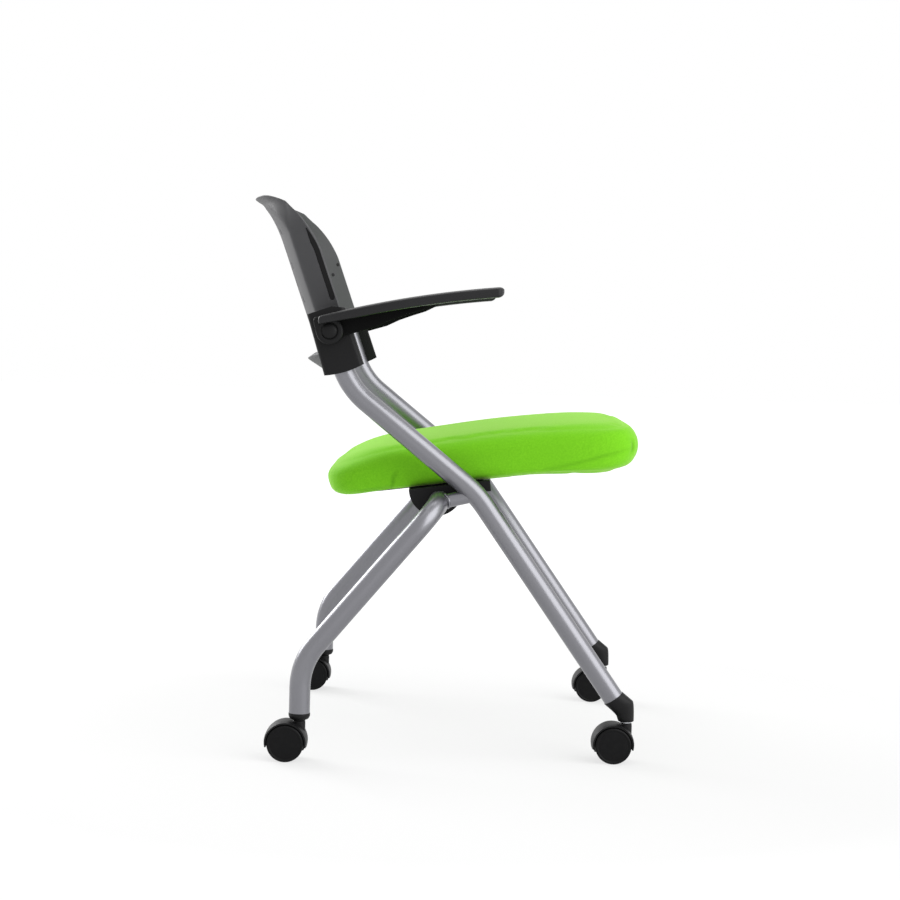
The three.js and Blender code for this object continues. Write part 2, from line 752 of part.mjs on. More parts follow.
// Lip along the bottom edge, turned to the rear, as shares of its height and reach
const bottomLipShares = [[1, -0.1], [0.97, 0.35], [0.85, 1], [0.36, 0.5], [0.08, 0.16], [0, -0.12], [0.25, -0.2]];

function bottomLip() {
  const stations = 13;
  const rings = [];
  for (let i = 0; i < stations; i++) {
    const x = bottomLipHalfWidth * ((2 * i) / (stations - 1) - 1);
    const share = Math.abs(x) / (shellHalfWidth - shellCreaseInset);
    const base = shellRearOffset - shellDish * share ** shellDishPower;
    const taper = 1 - bottomLipTaperShare * (x / bottomLipHalfWidth) ** 4;
    rings.push(bottomLipShares.map(([up, out]) => new THREE.Vector3(
      x, base + bottomLipReach * out * (out > 0 ? taper : 1),
      shellBottom - bottomLipDrop + bottomLipHeight * up)));
  }
  return loft(rings);
}

// Long teardrop groove near the front edge of a wing, as shares of its height and of its width
const slotWidthShares = [
  [0, 0.3], [0.008, 0.7], [0.03, 1], [0.25, 0.98], [0.5, 0.88], [0.7, 0.68], [0.85, 0.42], [0.95, 0.2], [1, 0.06],
];

function wingSlot(side) {
  const crease = shellHalfWidth - shellCreaseInset;
  const rings = slotWidthShares.map(([rise, width]) => {
    const up = slotBottom + rise * (slotTop - slotBottom);
    const depth = shellPoint(crease / shellHalfWidth, up).y - shellPoint(1, up).y;
    const acrossAt = (behind) => side * (1 - (behind / depth) * (shellCreaseInset / shellHalfWidth));
    const middle = slotEdgeMargin + slotWidth / 2;
    const [front, rear] = [-1, 1].map((end) => acrossAt(middle + (end * slotWidth * width) / 2));
    const wall = (across, into) => shellPoint(across, up).addScaledVector(shellNormal(across, up), into);
    return [wall(front, -overrun), wall(rear, -overrun), wall(rear, slotDepth), wall(front, slotDepth)];
  });
  return loft(rings);
}

function backShell() {
  const holes = screwPlaces().map((z) => screwShank(screwShankRadius + fit, z, overrun));
  const cutters = [...holes, ...holes.map((hole) => mirrored(welded(hole), 1)), wingSlot(-1), wingSlot(1)];
  return cut(join(shellSkin(), bottomLip()), ...cutters);
}

// Arm, drawn about its pivot: a pad over a thin web that runs down to a round hub
function armTopRise(t) {
  const length = armRearReach + armFrontReach;
  const sag = (armRearRise + armRearSlope * length - armTipRise) / (length * length);
  return armRearRise + armRearSlope * t - sag * t * t;
}

function armPad() {
  const length = armRearReach + armFrontReach;
  const stationShares = [0, 0.03, 0.12, 0.25, 0.4, 0.55, 0.7, 0.85, 0.96, 0.99, 1];
  const inner = -(mainHalfSpacing + bracketOuter + fit);
  return loft(stationShares.map((share) => {
    const t = share * length;
    const fromEnd = Math.min(t, length - t);
    const endShrink = 1 - armEndShrinkShare * Math.max(0, 1 - fromEnd / armEndRound) ** 2;
    const width = armRearWidth + (armWidth - armRearWidth) * smooth(share / armSwellShare);
    const thickness = armThickness * endShrink * Math.min(1, 1 - armRearThinShare + share);
    const top = armTopRise(t) - (armThickness * (1 - endShrink)) / 3;
    const w = (width * (1 + endShrink)) / 2;
    const crown = thickness * armCrownShare;
    const chamfer = thickness * armChamferShare;
    const y = armRearReach - t;
    const section = [
      [0, top - chamfer], [chamfer, top - crown / 2], [w / 2, top], [w - chamfer, top - crown],
      [w, top - crown - chamfer], [w, top - thickness + chamfer], [w - chamfer, top - thickness],
      [chamfer, top - thickness], [0, top - thickness + chamfer],
    ];
    return section.map(([out, up]) => new THREE.Vector3(inner - out, y, up));
  }));
}

function armRight() {
  const inner = -(mainHalfSpacing + bracketOuter + fit);
  const outer = inner - armHubWidth;
  const hub = barAlongX(armHubRadius, inner, outer, 0, 0, tubeSides);
  const webShape = new THREE.Shape();
  const webRear = armRearReach / 2;
  const webEdge = armWebShares.map(([forward, up]) => [forward * armFrontReach, up * armTipRise]);
  webShape.moveTo(webRear, 0);
  webEdge.forEach(([forward, up]) => webShape.lineTo(-forward, up));
  for (const [forward] of [...webEdge].reverse()) {
    webShape.lineTo(-forward, armTopRise(armRearReach + forward) - armThickness / 2);
  }
  webShape.lineTo(webRear, armTopRise(armRearReach - webRear) - armThickness / 2);
  const web = sidePrism(webShape, inner - armWebThickness, inner, 1);
  const bolt = barAlongX(armBoltRadius + fit, inner + overrun, outer - overrun, 0, 0, boreSides);
  const capSeat = barAlongX(
    armCapRadius + fit, outer + armCapThickness + fit, outer - overrun, 0, 0, tubeSides);
  const sleeveFace = boxBetween(
    new THREE.Vector3(inner, -armFrontReach, -armHubRadius),
    new THREE.Vector3(inner + overrun, armFrontReach, armTipRise));
  const headroom = barAlongX(
    armCapRadius + fit, outer, outer - armWidth, 0, 0, tubeSides);
  return cut(join(armPad(), hub, web), bolt, capSeat, sleeveFace, headroom);
}

function armBolt() {
  const face = -(mainHalfSpacing + bracketOuter + fit + armHubWidth);
  const cap = barAlongX(armCapRadius, face, face + armCapThickness, 0, 0, tubeSides);
  const shank = barAlongX(armBoltRadius, face + overrun, -(mainHalfSpacing - tubeRadius), 0, 0, boreSides);
  return join(cap, shank);
}

// Seat, drawn about the crossbar's axis with the underside level: Y rear, Z up
const undersideHeight = tubeRadius + hubCover;
const saddleSpan = Math.hypot(crossbarSetback, crossbarDrop);
const saddleLift = crossTubeRadius + saddleCover;
const seatTilt = Math.atan2(crossbarDrop, crossbarSetback) - Math.asin((undersideHeight - saddleLift) / saddleSpan);
const saddle = new THREE.Vector2(-crossbarSetback, crossbarDrop).rotateAround(new THREE.Vector2(), seatTilt);

function cushionForm() {
  const length = seatFrontReach + seatRearReach;
  const curve = new THREE.CatmullRomCurve3(
    cushionSideShares.map(([along, up]) => new THREE.Vector3(along, up, 0)), true, 'centripetal');
  const side = curve.getSpacedPoints(cushionSidePoints).slice(0, cushionSidePoints);
  const stations = [...cushionStationShares.slice(1).reverse().map((s) => -s), ...cushionStationShares];
  return loft(stations.map((station) => {
    const e = Math.abs(station);
    const heightKept = (1 - e ** seatHeightPower) ** (1 / seatHeightPower);
    const lengthKept = (1 - e ** seatLengthPower) ** (1 / seatLengthPower);
    return side.map((p) => {
      const along = (1 + (2 * p.x - 1) * lengthKept) / 2;
      const up = seatCoreShare + (p.y - seatCoreShare) * heightKept;
      const taper = 1 - seatRearTaperShare * (1 - along) ** 2 - seatPinchShare * Math.sin(Math.PI * along);
      return new THREE.Vector3(
        station * seatHalfWidth * taper, seatRearReach - along * length,
        undersideHeight + up * seatThickness);
    });
  }));
}

function panPrism(grow, bottom, top) {
  const front = -(seatFrontReach - panFrontInset) - grow;
  const rear = seatRearReach - panRearInset + grow;
  const w = panHalfWidth + grow;
  const r = panCornerRadius;
  const shape = new THREE.Shape();
  shape.moveTo(-w + r, front);
  shape.absarc(w - r, front + r, r, -Math.PI / 2, 0, false);
  shape.absarc(w - r, rear - r, r, 0, Math.PI / 2, false);
  shape.absarc(-w + r, rear - r, r, Math.PI / 2, Math.PI, false);
  shape.absarc(-w + r, front + r, r, Math.PI, Math.PI * 1.5, false);
  return new THREE.ExtrudeGeometry(shape, { depth: top - bottom, bevelEnabled: false, curveSegments: 5 })
    .translate(0, 0, bottom);
}

function seatScrewPlaces() {
  const x = -(seatBracketHalfSpacing - seatBracketWidth / 2 - seatBracketFlange / 2);
  return [{ end: 'front', x, y: -seatScrewFront }, { end: 'rear', x, y: seatScrewRear }];
}

const bracketFace = undersideHeight - fit;

function seatScrewHole(place) {
  const top = bracketFace + seatScrewLength;
  return barAlongZ(screwShankRadius + fit, place.x, place.y, 0, top, boreSides);
}

function seatCushion() {
  const recess = panPrism(fit, -seatThickness, undersideHeight + panThickness + fit);
  const outer = seatBracketHalfSpacing + seatBracketWidth / 2 + overrun;
  const overBrackets = boxBetween(
    new THREE.Vector3(-outer, -saddleFrontReach - overrun, -seatThickness),
    new THREE.Vector3(outer, hubDiscRadius + hubDiscSetback + overrun, undersideHeight));
  return cut(cushionForm(), recess, overBrackets);
}

function seatPan() {
  const holes = seatScrewPlaces().flatMap((place) => (
    [seatScrewHole(place), mirrored(welded(seatScrewHole(place)), 1)]));
  return cut(panPrism(0, undersideHeight, undersideHeight + panThickness), ...holes);
}

// Moulded bracket: a hub disc round the crossbar, a beam, and a saddle jaw over the cross tube
function seatBracket() {
  const outer = -(seatBracketHalfSpacing + seatBracketWidth / 2);
  const inner = outer + seatBracketWidth;
  const disc = new THREE.Shape();
  const reach = Math.acos((hubDiscRise - bracketFace) / hubDiscRadius);
  disc.absarc(hubDiscSetback, hubDiscRise, hubDiscRadius, Math.PI - (reach - Math.PI / 2), reach - Math.PI / 2 + 2 * Math.PI, false);
  const beam = new THREE.Shape();
  beam.moveTo(0, bracketFace);
  beam.lineTo(-saddleFrontReach, bracketFace);
  beam.lineTo(-saddleFrontReach, bracketFace - saddleDepth);
  beam.lineTo(saddle.x, bracketFace - saddleDepth);
  beam.lineTo(saddle.x + saddleJawThickness, bracketFace - beamThickness);
  beam.lineTo(0, bracketFace - beamThickness);
  const flange = boxBetween(
    new THREE.Vector3(inner - overrun, -saddleFrontReach + saddleJawThickness, bracketFace - flangeThickness),
    new THREE.Vector3(inner + seatBracketFlange, hubDiscRadius + hubDiscSetback, bracketFace));
  const tubes = [
    barAlongX(tubeRadius + fit, outer - overrun, inner + seatBracketFlange + overrun, 0, 0),
    barAlongX(crossTubeRadius + fit, outer - overrun, inner + seatBracketFlange + overrun, saddle.x, saddle.y),
  ];
  const body = join(sidePrism(disc, outer, inner, 14), sidePrism(beam, outer, inner, 1), flange);
  return cut(body, ...tubes, ...seatScrewPlaces().map(seatScrewHole));
}

function seatScrew(place) {
  const seat = bracketFace - flangeThickness - fit;
  const head = barAlongZ(screwHeadRadius, place.x, place.y, seat - screwHeadHeight, seat, boreSides);
  const shank = barAlongZ(
    screwShankRadius, place.x, place.y, seat - fit, bracketFace + panThickness, boreSides);
  return join(head, shank);
}

// Assembly
const chair = new THREE.Group();

for (const { label, side } of sides) {
  addPart(chair, `main_tube_${label}`, mainTube(side), silverPaint);
  addPart(chair, `link_tube_${label}`, linkTube(side), silverPaint);
  addPart(chair, `front_socket_${label}`, frontSocket(side), blackPlastic);
  addPart(chair, `rear_ferrule_${label}`, rearFerrule(side), blackPlastic);
}
addPart(chair, 'rear_leg_tube', tubeAlong(rearPath(), tubeRadius, tubeWall), silverPaint);
addPart(chair, 'front_cross_tube', crossTube(), silverPaint);

const back = new THREE.Group();
back.position.set(0, neck.x, neck.y);
back.rotation.x = -backLean;
chair.add(back);
addPart(back, 'back_shell', backShell(), greyPlastic);
const [lowScrew, highScrew] = screwPlaces();
for (const { label, side } of sides) {
  addPart(back, `back_bracket_${label}`, mirrored(backBracket(), side), blackPlastic);
  addPart(back, `back_screw_lower_${label}`, mirrored(backScrew(lowScrew), side), zincSteel);
  addPart(back, `back_screw_upper_${label}`, mirrored(backScrew(highScrew), side), zincSteel);
}

for (const { label, side } of sides) {
  const arm = new THREE.Group();
  arm.position.set(0, armPivot.x, armPivot.y);
  addPart(arm, `arm_${label}`, mirrored(armRight(), side), blackPlastic);
  addPart(arm, `arm_bolt_${label}`, mirrored(armBolt(), side), blackPlastic);
  chair.add(arm);
}

const seat = new THREE.Group();
seat.position.set(0, crossbar.x, crossbar.y);
seat.rotation.x = -seatTilt;
chair.add(seat);
addPart(seat, 'seat_cushion', seatCushion(), greenFabric);
addPart(seat, 'seat_pan', seatPan(), darkBoard);
for (const { label, side } of sides) {
  addPart(seat, `seat_bracket_${label}`, mirrored(seatBracket(), side), blackPlastic);
  for (const place of seatScrewPlaces()) {
    addPart(seat, `seat_screw_${place.end}_${label}`, mirrored(seatScrew(place), side), zincSteel);
  }
}

for (const { label, side } of sides) {
  addCaster(chair, `front_caster_${label}`, side * mainHalfSpacing, frontStemY);
  addCaster(chair, `rear_caster_${label}`, side * rearHalfSpacing, rearFootBack);
}

// The origin is on the floor, in the middle of the chair's overall width and depth
const overall = new THREE.Box3().setFromObject(chair, true);
chair.position.y = -(overall.min.y + overall.max.y) / 2;

const model = new THREE.Group();
model.add(chair);
export default model;
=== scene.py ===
# %% [markdown]
# # Nesting chair
# A nesting chair is a training-room chair on casters. Its seat tips up, so that one chair
# rolls into the next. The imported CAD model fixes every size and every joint. This file dresses
# it: round tubes, a perforated back, a padded seat, moulded arms and twin-wheel casters.
# The sitter faces -Y, and the right side of the chair is at -X, towards the camera.

# %% Load the frame
import json
import math

import bmesh
import bpy
import numpy as np
from mathutils import Matrix, Vector


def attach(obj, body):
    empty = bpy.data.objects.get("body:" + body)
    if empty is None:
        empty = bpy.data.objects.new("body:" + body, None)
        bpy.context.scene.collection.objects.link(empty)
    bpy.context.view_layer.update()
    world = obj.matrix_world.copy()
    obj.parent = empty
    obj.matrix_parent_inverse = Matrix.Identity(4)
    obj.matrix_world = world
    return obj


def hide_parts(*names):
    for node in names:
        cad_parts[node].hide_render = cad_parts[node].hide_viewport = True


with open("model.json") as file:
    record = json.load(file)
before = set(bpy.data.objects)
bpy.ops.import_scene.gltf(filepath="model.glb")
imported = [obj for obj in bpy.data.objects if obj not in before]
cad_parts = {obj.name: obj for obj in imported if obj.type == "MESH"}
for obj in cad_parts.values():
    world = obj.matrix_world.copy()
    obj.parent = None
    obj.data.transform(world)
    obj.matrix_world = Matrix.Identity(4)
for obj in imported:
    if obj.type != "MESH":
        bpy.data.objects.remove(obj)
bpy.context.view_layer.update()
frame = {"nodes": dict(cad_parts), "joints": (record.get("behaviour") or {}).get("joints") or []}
joints = {j["name"]: j for j in frame["joints"]}
mm = 0.001

# %% [markdown]
# ## Camera
# The photograph is a side view from far away, with a small tilt and roll. A camera that was
# solved from both sides of the chair goes back where it stood. Its roll is kept, because the
# chair's right side sits a little lower in the picture.

# %% Camera
crossbar_y, crossbar_z = joints["seat_flip"]["pos_m"][1:]
# The CAD's source has the crossbar at Y 4.5 mm, and packing moved the whole chair by this much.
y_shift = crossbar_y - 4.5 * mm
camera_place = Vector((-3139.4 * mm, -7.18 * mm + y_shift, 604 * mm))
camera_yaw, camera_pitch, camera_roll = (math.radians(a) for a in (0.03, 3.537, 1.52))
toward = Vector((math.cos(camera_yaw), -math.sin(camera_yaw), 0))
across = Vector((-math.sin(camera_yaw), -math.cos(camera_yaw), 0))
upward = Vector((0, 0, 1))
look = math.cos(camera_pitch) * toward - math.sin(camera_pitch) * upward
lift = math.cos(camera_pitch) * upward + math.sin(camera_pitch) * toward
right = math.cos(camera_roll) * across + math.sin(camera_roll) * lift
up = math.cos(camera_roll) * lift - math.sin(camera_roll) * across
camera = bpy.data.objects.new("camera", bpy.data.cameras.new("camera"))
camera_turn = Matrix((right, up, -look)).transposed().to_4x4()
camera.matrix_world = Matrix.Translation(camera_place) @ camera_turn
camera.data.lens = 85
camera.data.sensor_width = 36
camera.data.clip_start, camera.data.clip_end = 0.05, 60
bpy.context.scene.collection.objects.link(camera)
bpy.context.scene.camera = camera
print("camera at", [round(v, 3) for v in camera_place])

# %% [markdown]
# ## Studio
# The floor runs far behind the chair and glows as white as the backdrop, so no horizon shows.
# It keeps the soft shadow under the casters. A broad key lamp stands in front of the chair, on
# the camera's side, and draws the pale line along each tube. A lamp behind, on the far side,
# lights the rear of the back and of the legs, and a weak lamp overhead makes the seat's top pale.

# %% One function for every shader and geometry node
def add(tree, kind, inputs=None, **settings):
    """Adds a node. inputs maps a socket's name or number to a value, to another node's output, or
    to a node, whose first output is then linked."""
    node = tree.nodes.new(kind)
    for key, value in settings.items():
        setattr(node, key, value)
    for key, value in (inputs or {}).items():
        if isinstance(value, bpy.types.Node):
            value = value.outputs[0]
        if isinstance(value, bpy.types.NodeSocket):
            tree.links.new(value, node.inputs[key])
        else:
            node.inputs[key].default_value = value
    return node


def linear(hex_colour):
    """sRGB hex such as "76c800" to the linear RGBA that Blender's sockets hold."""
    parts = [int(hex_colour[i : i + 2], 16) / 255 for i in (0, 2, 4)]
    return [p / 12.92 if p <= 0.04045 else ((p + 0.055) / 1.055) ** 2.4 for p in parts] + [1]


# %% Floor, world and lamps
def new_material(name):
    material = bpy.data.materials.new(name)
    material.use_nodes = True
    material.node_tree.nodes.clear()
    return material, material.node_tree


def seen_directly(tree):
    """1 for what the camera sees itself, in a mirror-like surface or through glass, else 0."""
    ray = add(tree, "ShaderNodeLightPath").outputs
    shiny = add(tree, "ShaderNodeMath", {0: ray["Is Camera Ray"], 1: ray["Is Glossy Ray"]}, operation="MAXIMUM")
    return add(tree, "ShaderNodeMath", {0: shiny, 1: ray["Is Transmission Ray"]}, operation="MAXIMUM")


floor_material, tree = new_material("white studio floor")
seen = seen_directly(tree)
# The lamps reach less far than the floor, so it glows more with the distance from the chair.
glow_start, glow_end = 0.8, 2.2  # metres from the chair
near_glow, far_glow = 0.69, 1.0
floor_spot = add(tree, "ShaderNodeTexCoord").outputs["Object"]
away = add(tree, "ShaderNodeVectorMath", {0: floor_spot}, operation="LENGTH").outputs["Value"]
evened = add(tree, "ShaderNodeMapRange", {0: away, 1: glow_start, 2: glow_end, 3: near_glow, 4: far_glow})
glow = add(tree, "ShaderNodeMath", {0: seen, 1: evened}, operation="MULTIPLY")
# Under the glow the floor is grey where it is seen, and it lights the chair as white paper does.
base = add(tree, "ShaderNodeMix", {0: seen, 6: linear("f6f6f6"), 7: linear("848484")}, data_type="RGBA").outputs[2]
paper = add(tree, "ShaderNodeBsdfPrincipled", {"Base Color": base, "Roughness": 0.9, "Specular IOR Level": 0.1,
            "Emission Color": (1, 1, 1, 1), "Emission Strength": glow})
add(tree, "ShaderNodeOutputMaterial", {"Surface": paper})
floor_half = 14  # metres
floor_mesh = bpy.data.meshes.new("floor")
floor_mesh.from_pydata([(x * floor_half, y * floor_half, 0) for x, y in ((-1, -1), (1, -1), (1, 1), (-1, 1))],
                       [], [(0, 1, 2, 3)])
floor = bpy.data.objects.new("floor", floor_mesh)
floor.data.materials.append(floor_material)
bpy.context.scene.collection.objects.link(floor)

world = bpy.data.worlds.new("studio")
world.use_nodes = True
world.node_tree.nodes.clear()
tree = world.node_tree
# The backdrop is pure white where it is seen, and lights the chair with about half of that.
backdrop_light, backdrop_seen = 0.47, 1.0
level = add(tree, "ShaderNodeMapRange", {0: seen_directly(tree), 3: backdrop_light, 4: backdrop_seen})
sky = add(tree, "ShaderNodeBackground", {"Color": (1, 1, 1, 1), "Strength": level})
add(tree, "ShaderNodeOutputWorld", {"Surface": sky})
bpy.context.scene.world = world
bpy.context.scene.view_settings.view_transform = "Standard"


def lamp(name, place, aim, size, power):
    """A square area lamp. Its place, aim and size are in metres, and its power in watts."""
    data = bpy.data.lights.new(name, "AREA")
    data.shape = "SQUARE"
    data.size, data.energy = size, power
    light = bpy.data.objects.new(name, data)
    light.location = place
    light.rotation_euler = (Vector(aim) - Vector(place)).to_track_quat("-Z", "Y").to_euler()
    bpy.context.scene.collection.objects.link(light)


lamp("overhead lamp", place=(0.2, 0.1, 2.6), aim=(0, 0, 0.4), size=1.8, power=16)
lamp("key lamp at the front", place=(-1.6, -2.3, 1.8), aim=(0, 0, 0.5), size=3.2, power=86)
lamp("lamp behind", place=(1.8, 2.2, 1.7), aim=(0, 0, 0.4), size=2.0, power=80)
print("lamps", len(bpy.data.lights))

# %% [markdown]
# ## Materials
# Each finish starts from what the real one is. Patterns read Object coordinates in metres, so
# a texture's scale is one over a real size. Fine grain is drawn as coarse as a picture of the
# whole chair can show.

# %% [markdown]
# ### Silver powder coat
# The steel tubes are powder coated: fine aluminium flake under a clear binder, sprayed and baked.
# It gives the eye a soft metallic grey with long pale highlights and a faint orange peel. A metal
# shader with a thin clear coat over it is built the same way, so it gives both.

# %% Silver powder coat
silver_coat, tree = new_material("silver powder coat on steel")
spot = add(tree, "ShaderNodeTexCoord").outputs["Object"]
flake = add(tree, "ShaderNodeTexNoise", {"Vector": spot, "Scale": 1 / (0.9 * mm), "Detail": 3})
flecks = add(tree, "ShaderNodeMapRange", {0: flake, 1: 0.3, 2: 0.7})
silver = add(tree, "ShaderNodeMix", {0: flecks, 6: linear("7c7c81"), 7: linear("838388")}, data_type="RGBA")
clouds = add(tree, "ShaderNodeTexNoise", {"Vector": spot, "Scale": 1 / (30 * mm)})
haze = add(tree, "ShaderNodeMapRange", {0: clouds, 3: 0.31, 4: 0.36})
peel = add(tree, "ShaderNodeTexNoise", {"Vector": spot, "Scale": 1 / (2.5 * mm), "Detail": 1})
waves = add(tree, "ShaderNodeBump", {"Height": peel, "Distance": 0.02 * mm, "Strength": 0.3})
coat = add(tree, "ShaderNodeBsdfPrincipled", {"Base Color": silver.outputs[2], "Metallic": 0.85, "Roughness": haze,
           "Normal": waves, "Coat Weight": 0.2, "Coat Roughness": 0.2})
add(tree, "ShaderNodeOutputMaterial", {"Surface": coat})

# %% [markdown]
# ### Moulded plastics
# An injection mould is etched by sparks, and its grain is cast into the plastic. The grain makes
# the surface rough and lifts it by a few hundredths of a millimetre, and the tone drifts a little.
# Three of the chair's plastics differ only in such sizes, so one function mixes them all.

# %% Moulded plastics
def moulded(name, tones, drift, grain, detail, satin, relief, shine, ior):
    """A moulded plastic. drift and grain are sizes in mm, satin is a range of roughness, relief is
    a height in mm and its strength."""
    material, tree = new_material(name)
    spot = add(tree, "ShaderNodeTexCoord").outputs["Object"]
    patches = add(tree, "ShaderNodeTexNoise", {"Vector": spot, "Scale": 1 / (drift * mm)})
    tone = add(tree, "ShaderNodeMix", {0: patches, 6: linear(tones[0]), 7: linear(tones[1])}, data_type="RGBA")
    grains = add(tree, "ShaderNodeTexNoise", {"Vector": spot, "Scale": 1 / (grain * mm), "Detail": detail})
    rough = add(tree, "ShaderNodeMapRange", {0: grains, 3: satin[0], 4: satin[1]})
    raised = add(tree, "ShaderNodeBump", {"Height": grains, "Distance": relief[0] * mm, "Strength": relief[1]})
    plastic = add(tree, "ShaderNodeBsdfPrincipled", {"Base Color": tone.outputs[2], "Specular IOR Level": shine,
                  "Roughness": rough, "IOR": ior, "Normal": raised})
    add(tree, "ShaderNodeOutputMaterial", {"Surface": plastic})
    return material


# Glass-filled nylon: near black and satin, with a broad grey sheen along its edges.
black_nylon = moulded("black moulded nylon", ("0f0f10", "141415"), drift=45, grain=0.8, detail=2,
                      satin=(0.40, 0.55), relief=(0.05, 0.6), shine=0.16, ior=1.53)
# The lever under each arm pad has a coarse matt mould. Its darker tone and lower shine than the other nylon are painted
# shade, for the shade under the pad.
lever_nylon_painted_shade = moulded("matt black moulded nylon", ("0a0a0a", "0e0e0e"), drift=45, grain=1.4, detail=3,
                     satin=(0.6, 0.8), relief=(0.08, 0.6), shine=0.05, ior=1.53)
# Polypropylene of the back: dark grey, matt, with a leather-like grain.
grey_shell = moulded("grey moulded polypropylene", ("4a4a4c", "505052"), drift=60, grain=0.9, detail=2,
                     satin=(0.48, 0.62), relief=(0.06, 0.6), shine=0.22, ior=1.49)

# %% [markdown]
# ### Arm pad polyurethane
# The pads are self-skinning polyurethane, moulded soft: charcoal with a fine leather grain and a
# low sheen. Such a grain is a field of small cells, so a Voronoi pattern draws it, and not noise.

# %% Arm pad polyurethane
arm_skin, tree = new_material("charcoal moulded polyurethane")
spot = add(tree, "ShaderNodeTexCoord").outputs["Object"]
patches = add(tree, "ShaderNodeTexNoise", {"Vector": spot, "Scale": 1 / (25 * mm)})
charcoal = add(tree, "ShaderNodeMix", {0: patches, 6: linear("18181a"), 7: linear("1e1e1f")}, data_type="RGBA")
pores = add(tree, "ShaderNodeTexVoronoi", {"Vector": spot, "Scale": 1 / (1.6 * mm)}).outputs["Distance"]
leather = add(tree, "ShaderNodeBump", {"Height": pores, "Distance": 0.05 * mm, "Strength": 0.5})
soft_skin = add(tree, "ShaderNodeBsdfPrincipled", {"Base Color": charcoal.outputs[2], "Roughness": 0.45, "IOR": 1.5,
                "Specular IOR Level": 0.25, "Normal": leather})
add(tree, "ShaderNodeOutputMaterial", {"Surface": soft_skin})

# %% [markdown]
# ### Wheel nylon
# The wheels are nylon, moulded smooth: black, and a little scuffed by the floor. A scuff is a
# patch and not a grain, so one coarse noise changes the tone, the roughness and the relief.

# %% Wheel nylon
wheel_nylon, tree = new_material("black nylon wheel")
spot = add(tree, "ShaderNodeTexCoord").outputs["Object"]
scuff = add(tree, "ShaderNodeTexNoise", {"Vector": spot, "Scale": 1 / (6 * mm), "Detail": 4, "Roughness": 0.6})
worn = add(tree, "ShaderNodeMapRange", {0: scuff, 1: 0.45, 2: 0.75})
black = add(tree, "ShaderNodeMix", {0: worn, 6: linear("0a0a0b"), 7: linear("101011")}, data_type="RGBA")
rubbed = add(tree, "ShaderNodeMapRange", {0: scuff, 3: 0.4, 4: 0.54})
scratches = add(tree, "ShaderNodeBump", {"Height": scuff, "Distance": 0.03 * mm, "Strength": 0.4})
wheel_skin = add(tree, "ShaderNodeBsdfPrincipled", {"Base Color": black.outputs[2], "Specular IOR Level": 0.12,
                 "Roughness": rubbed, "IOR": 1.53, "Normal": scratches})
add(tree, "ShaderNodeOutputMaterial", {"Surface": wheel_skin})

# %% [markdown]
# ### Zinc plated steel
# Stems, axles and screws are turned steel under bright zinc: pale blue-grey, with fine drawing
# marks. A mark is at once a line, a duller spot and a dent, so one fine noise drives all three.

# %% Zinc plated steel
zinc, tree = new_material("zinc plated steel")
spot = add(tree, "ShaderNodeTexCoord").outputs["Object"]
marks = add(tree, "ShaderNodeTexNoise", {"Vector": spot, "Scale": 1 / (1.2 * mm), "Detail": 3})
blue_grey = add(tree, "ShaderNodeMix", {0: marks, 6: linear("b6b9bd"), 7: linear("c9cbcd")}, data_type="RGBA")
drawn = add(tree, "ShaderNodeMapRange", {0: marks, 3: 0.22, 4: 0.36})
lines = add(tree, "ShaderNodeBump", {"Height": marks, "Distance": 0.01 * mm, "Strength": 0.3})
plating = add(tree, "ShaderNodeBsdfPrincipled", {"Base Color": blue_grey.outputs[2], "Metallic": 1.0,
              "Roughness": drawn, "Normal": lines})
add(tree, "ShaderNodeOutputMaterial", {"Surface": plating})

# %% [markdown]
# ### Black underside board
# The board is moulded plywood under a stapled black non-woven cloth: matt, fibrous and slightly
# grey. Its fibres run every way, so a noise with much detail is enough to draw them.

# %% Black underside board
board_cloth, tree = new_material("black non-woven cloth on board")
spot = add(tree, "ShaderNodeTexCoord").outputs["Object"]
fibre = add(tree, "ShaderNodeTexNoise", {"Vector": spot, "Scale": 1 / (1.1 * mm), "Detail": 5, "Roughness": 0.7})
felt = add(tree, "ShaderNodeMix", {0: fibre, 6: linear("131314"), 7: linear("29292a")}, data_type="RGBA")
fuzz = add(tree, "ShaderNodeBump", {"Height": fibre, "Distance": 0.15 * mm, "Strength": 0.7})
cloth_skin = add(tree, "ShaderNodeBsdfPrincipled", {"Base Color": felt.outputs[2], "Roughness": 0.92,
                 "Normal": fuzz, "Sheen Weight": 0.2})
add(tree, "ShaderNodeOutputMaterial", {"Surface": cloth_skin})

# %% [markdown]
# ### Green woven upholstery
# The cover is plain-woven polyester in lime green, stretched over foam. The threads are 0.9 mm
# apart and only roughen the surface; slubs, the thicker spots of yarn, give the fine grain that
# shows from a step away. Cloth scatters light sideways, so the sheen makes it pale where it is
# seen at a slant. Each crease is painted darker by how deep it is pressed: this is painted shade.
# Waves along all three axes draw the threads, because the cover faces every way.

# %% Green woven upholstery
lime_weave, tree = new_material("lime woven polyester")
spot = add(tree, "ShaderNodeTexCoord").outputs["Object"]
weave_pitch, slub_size, patch_size = 0.9 * mm, 2.2 * mm, 70 * mm
deepest_crease = 1.2  # mm, in which the attribute is stored
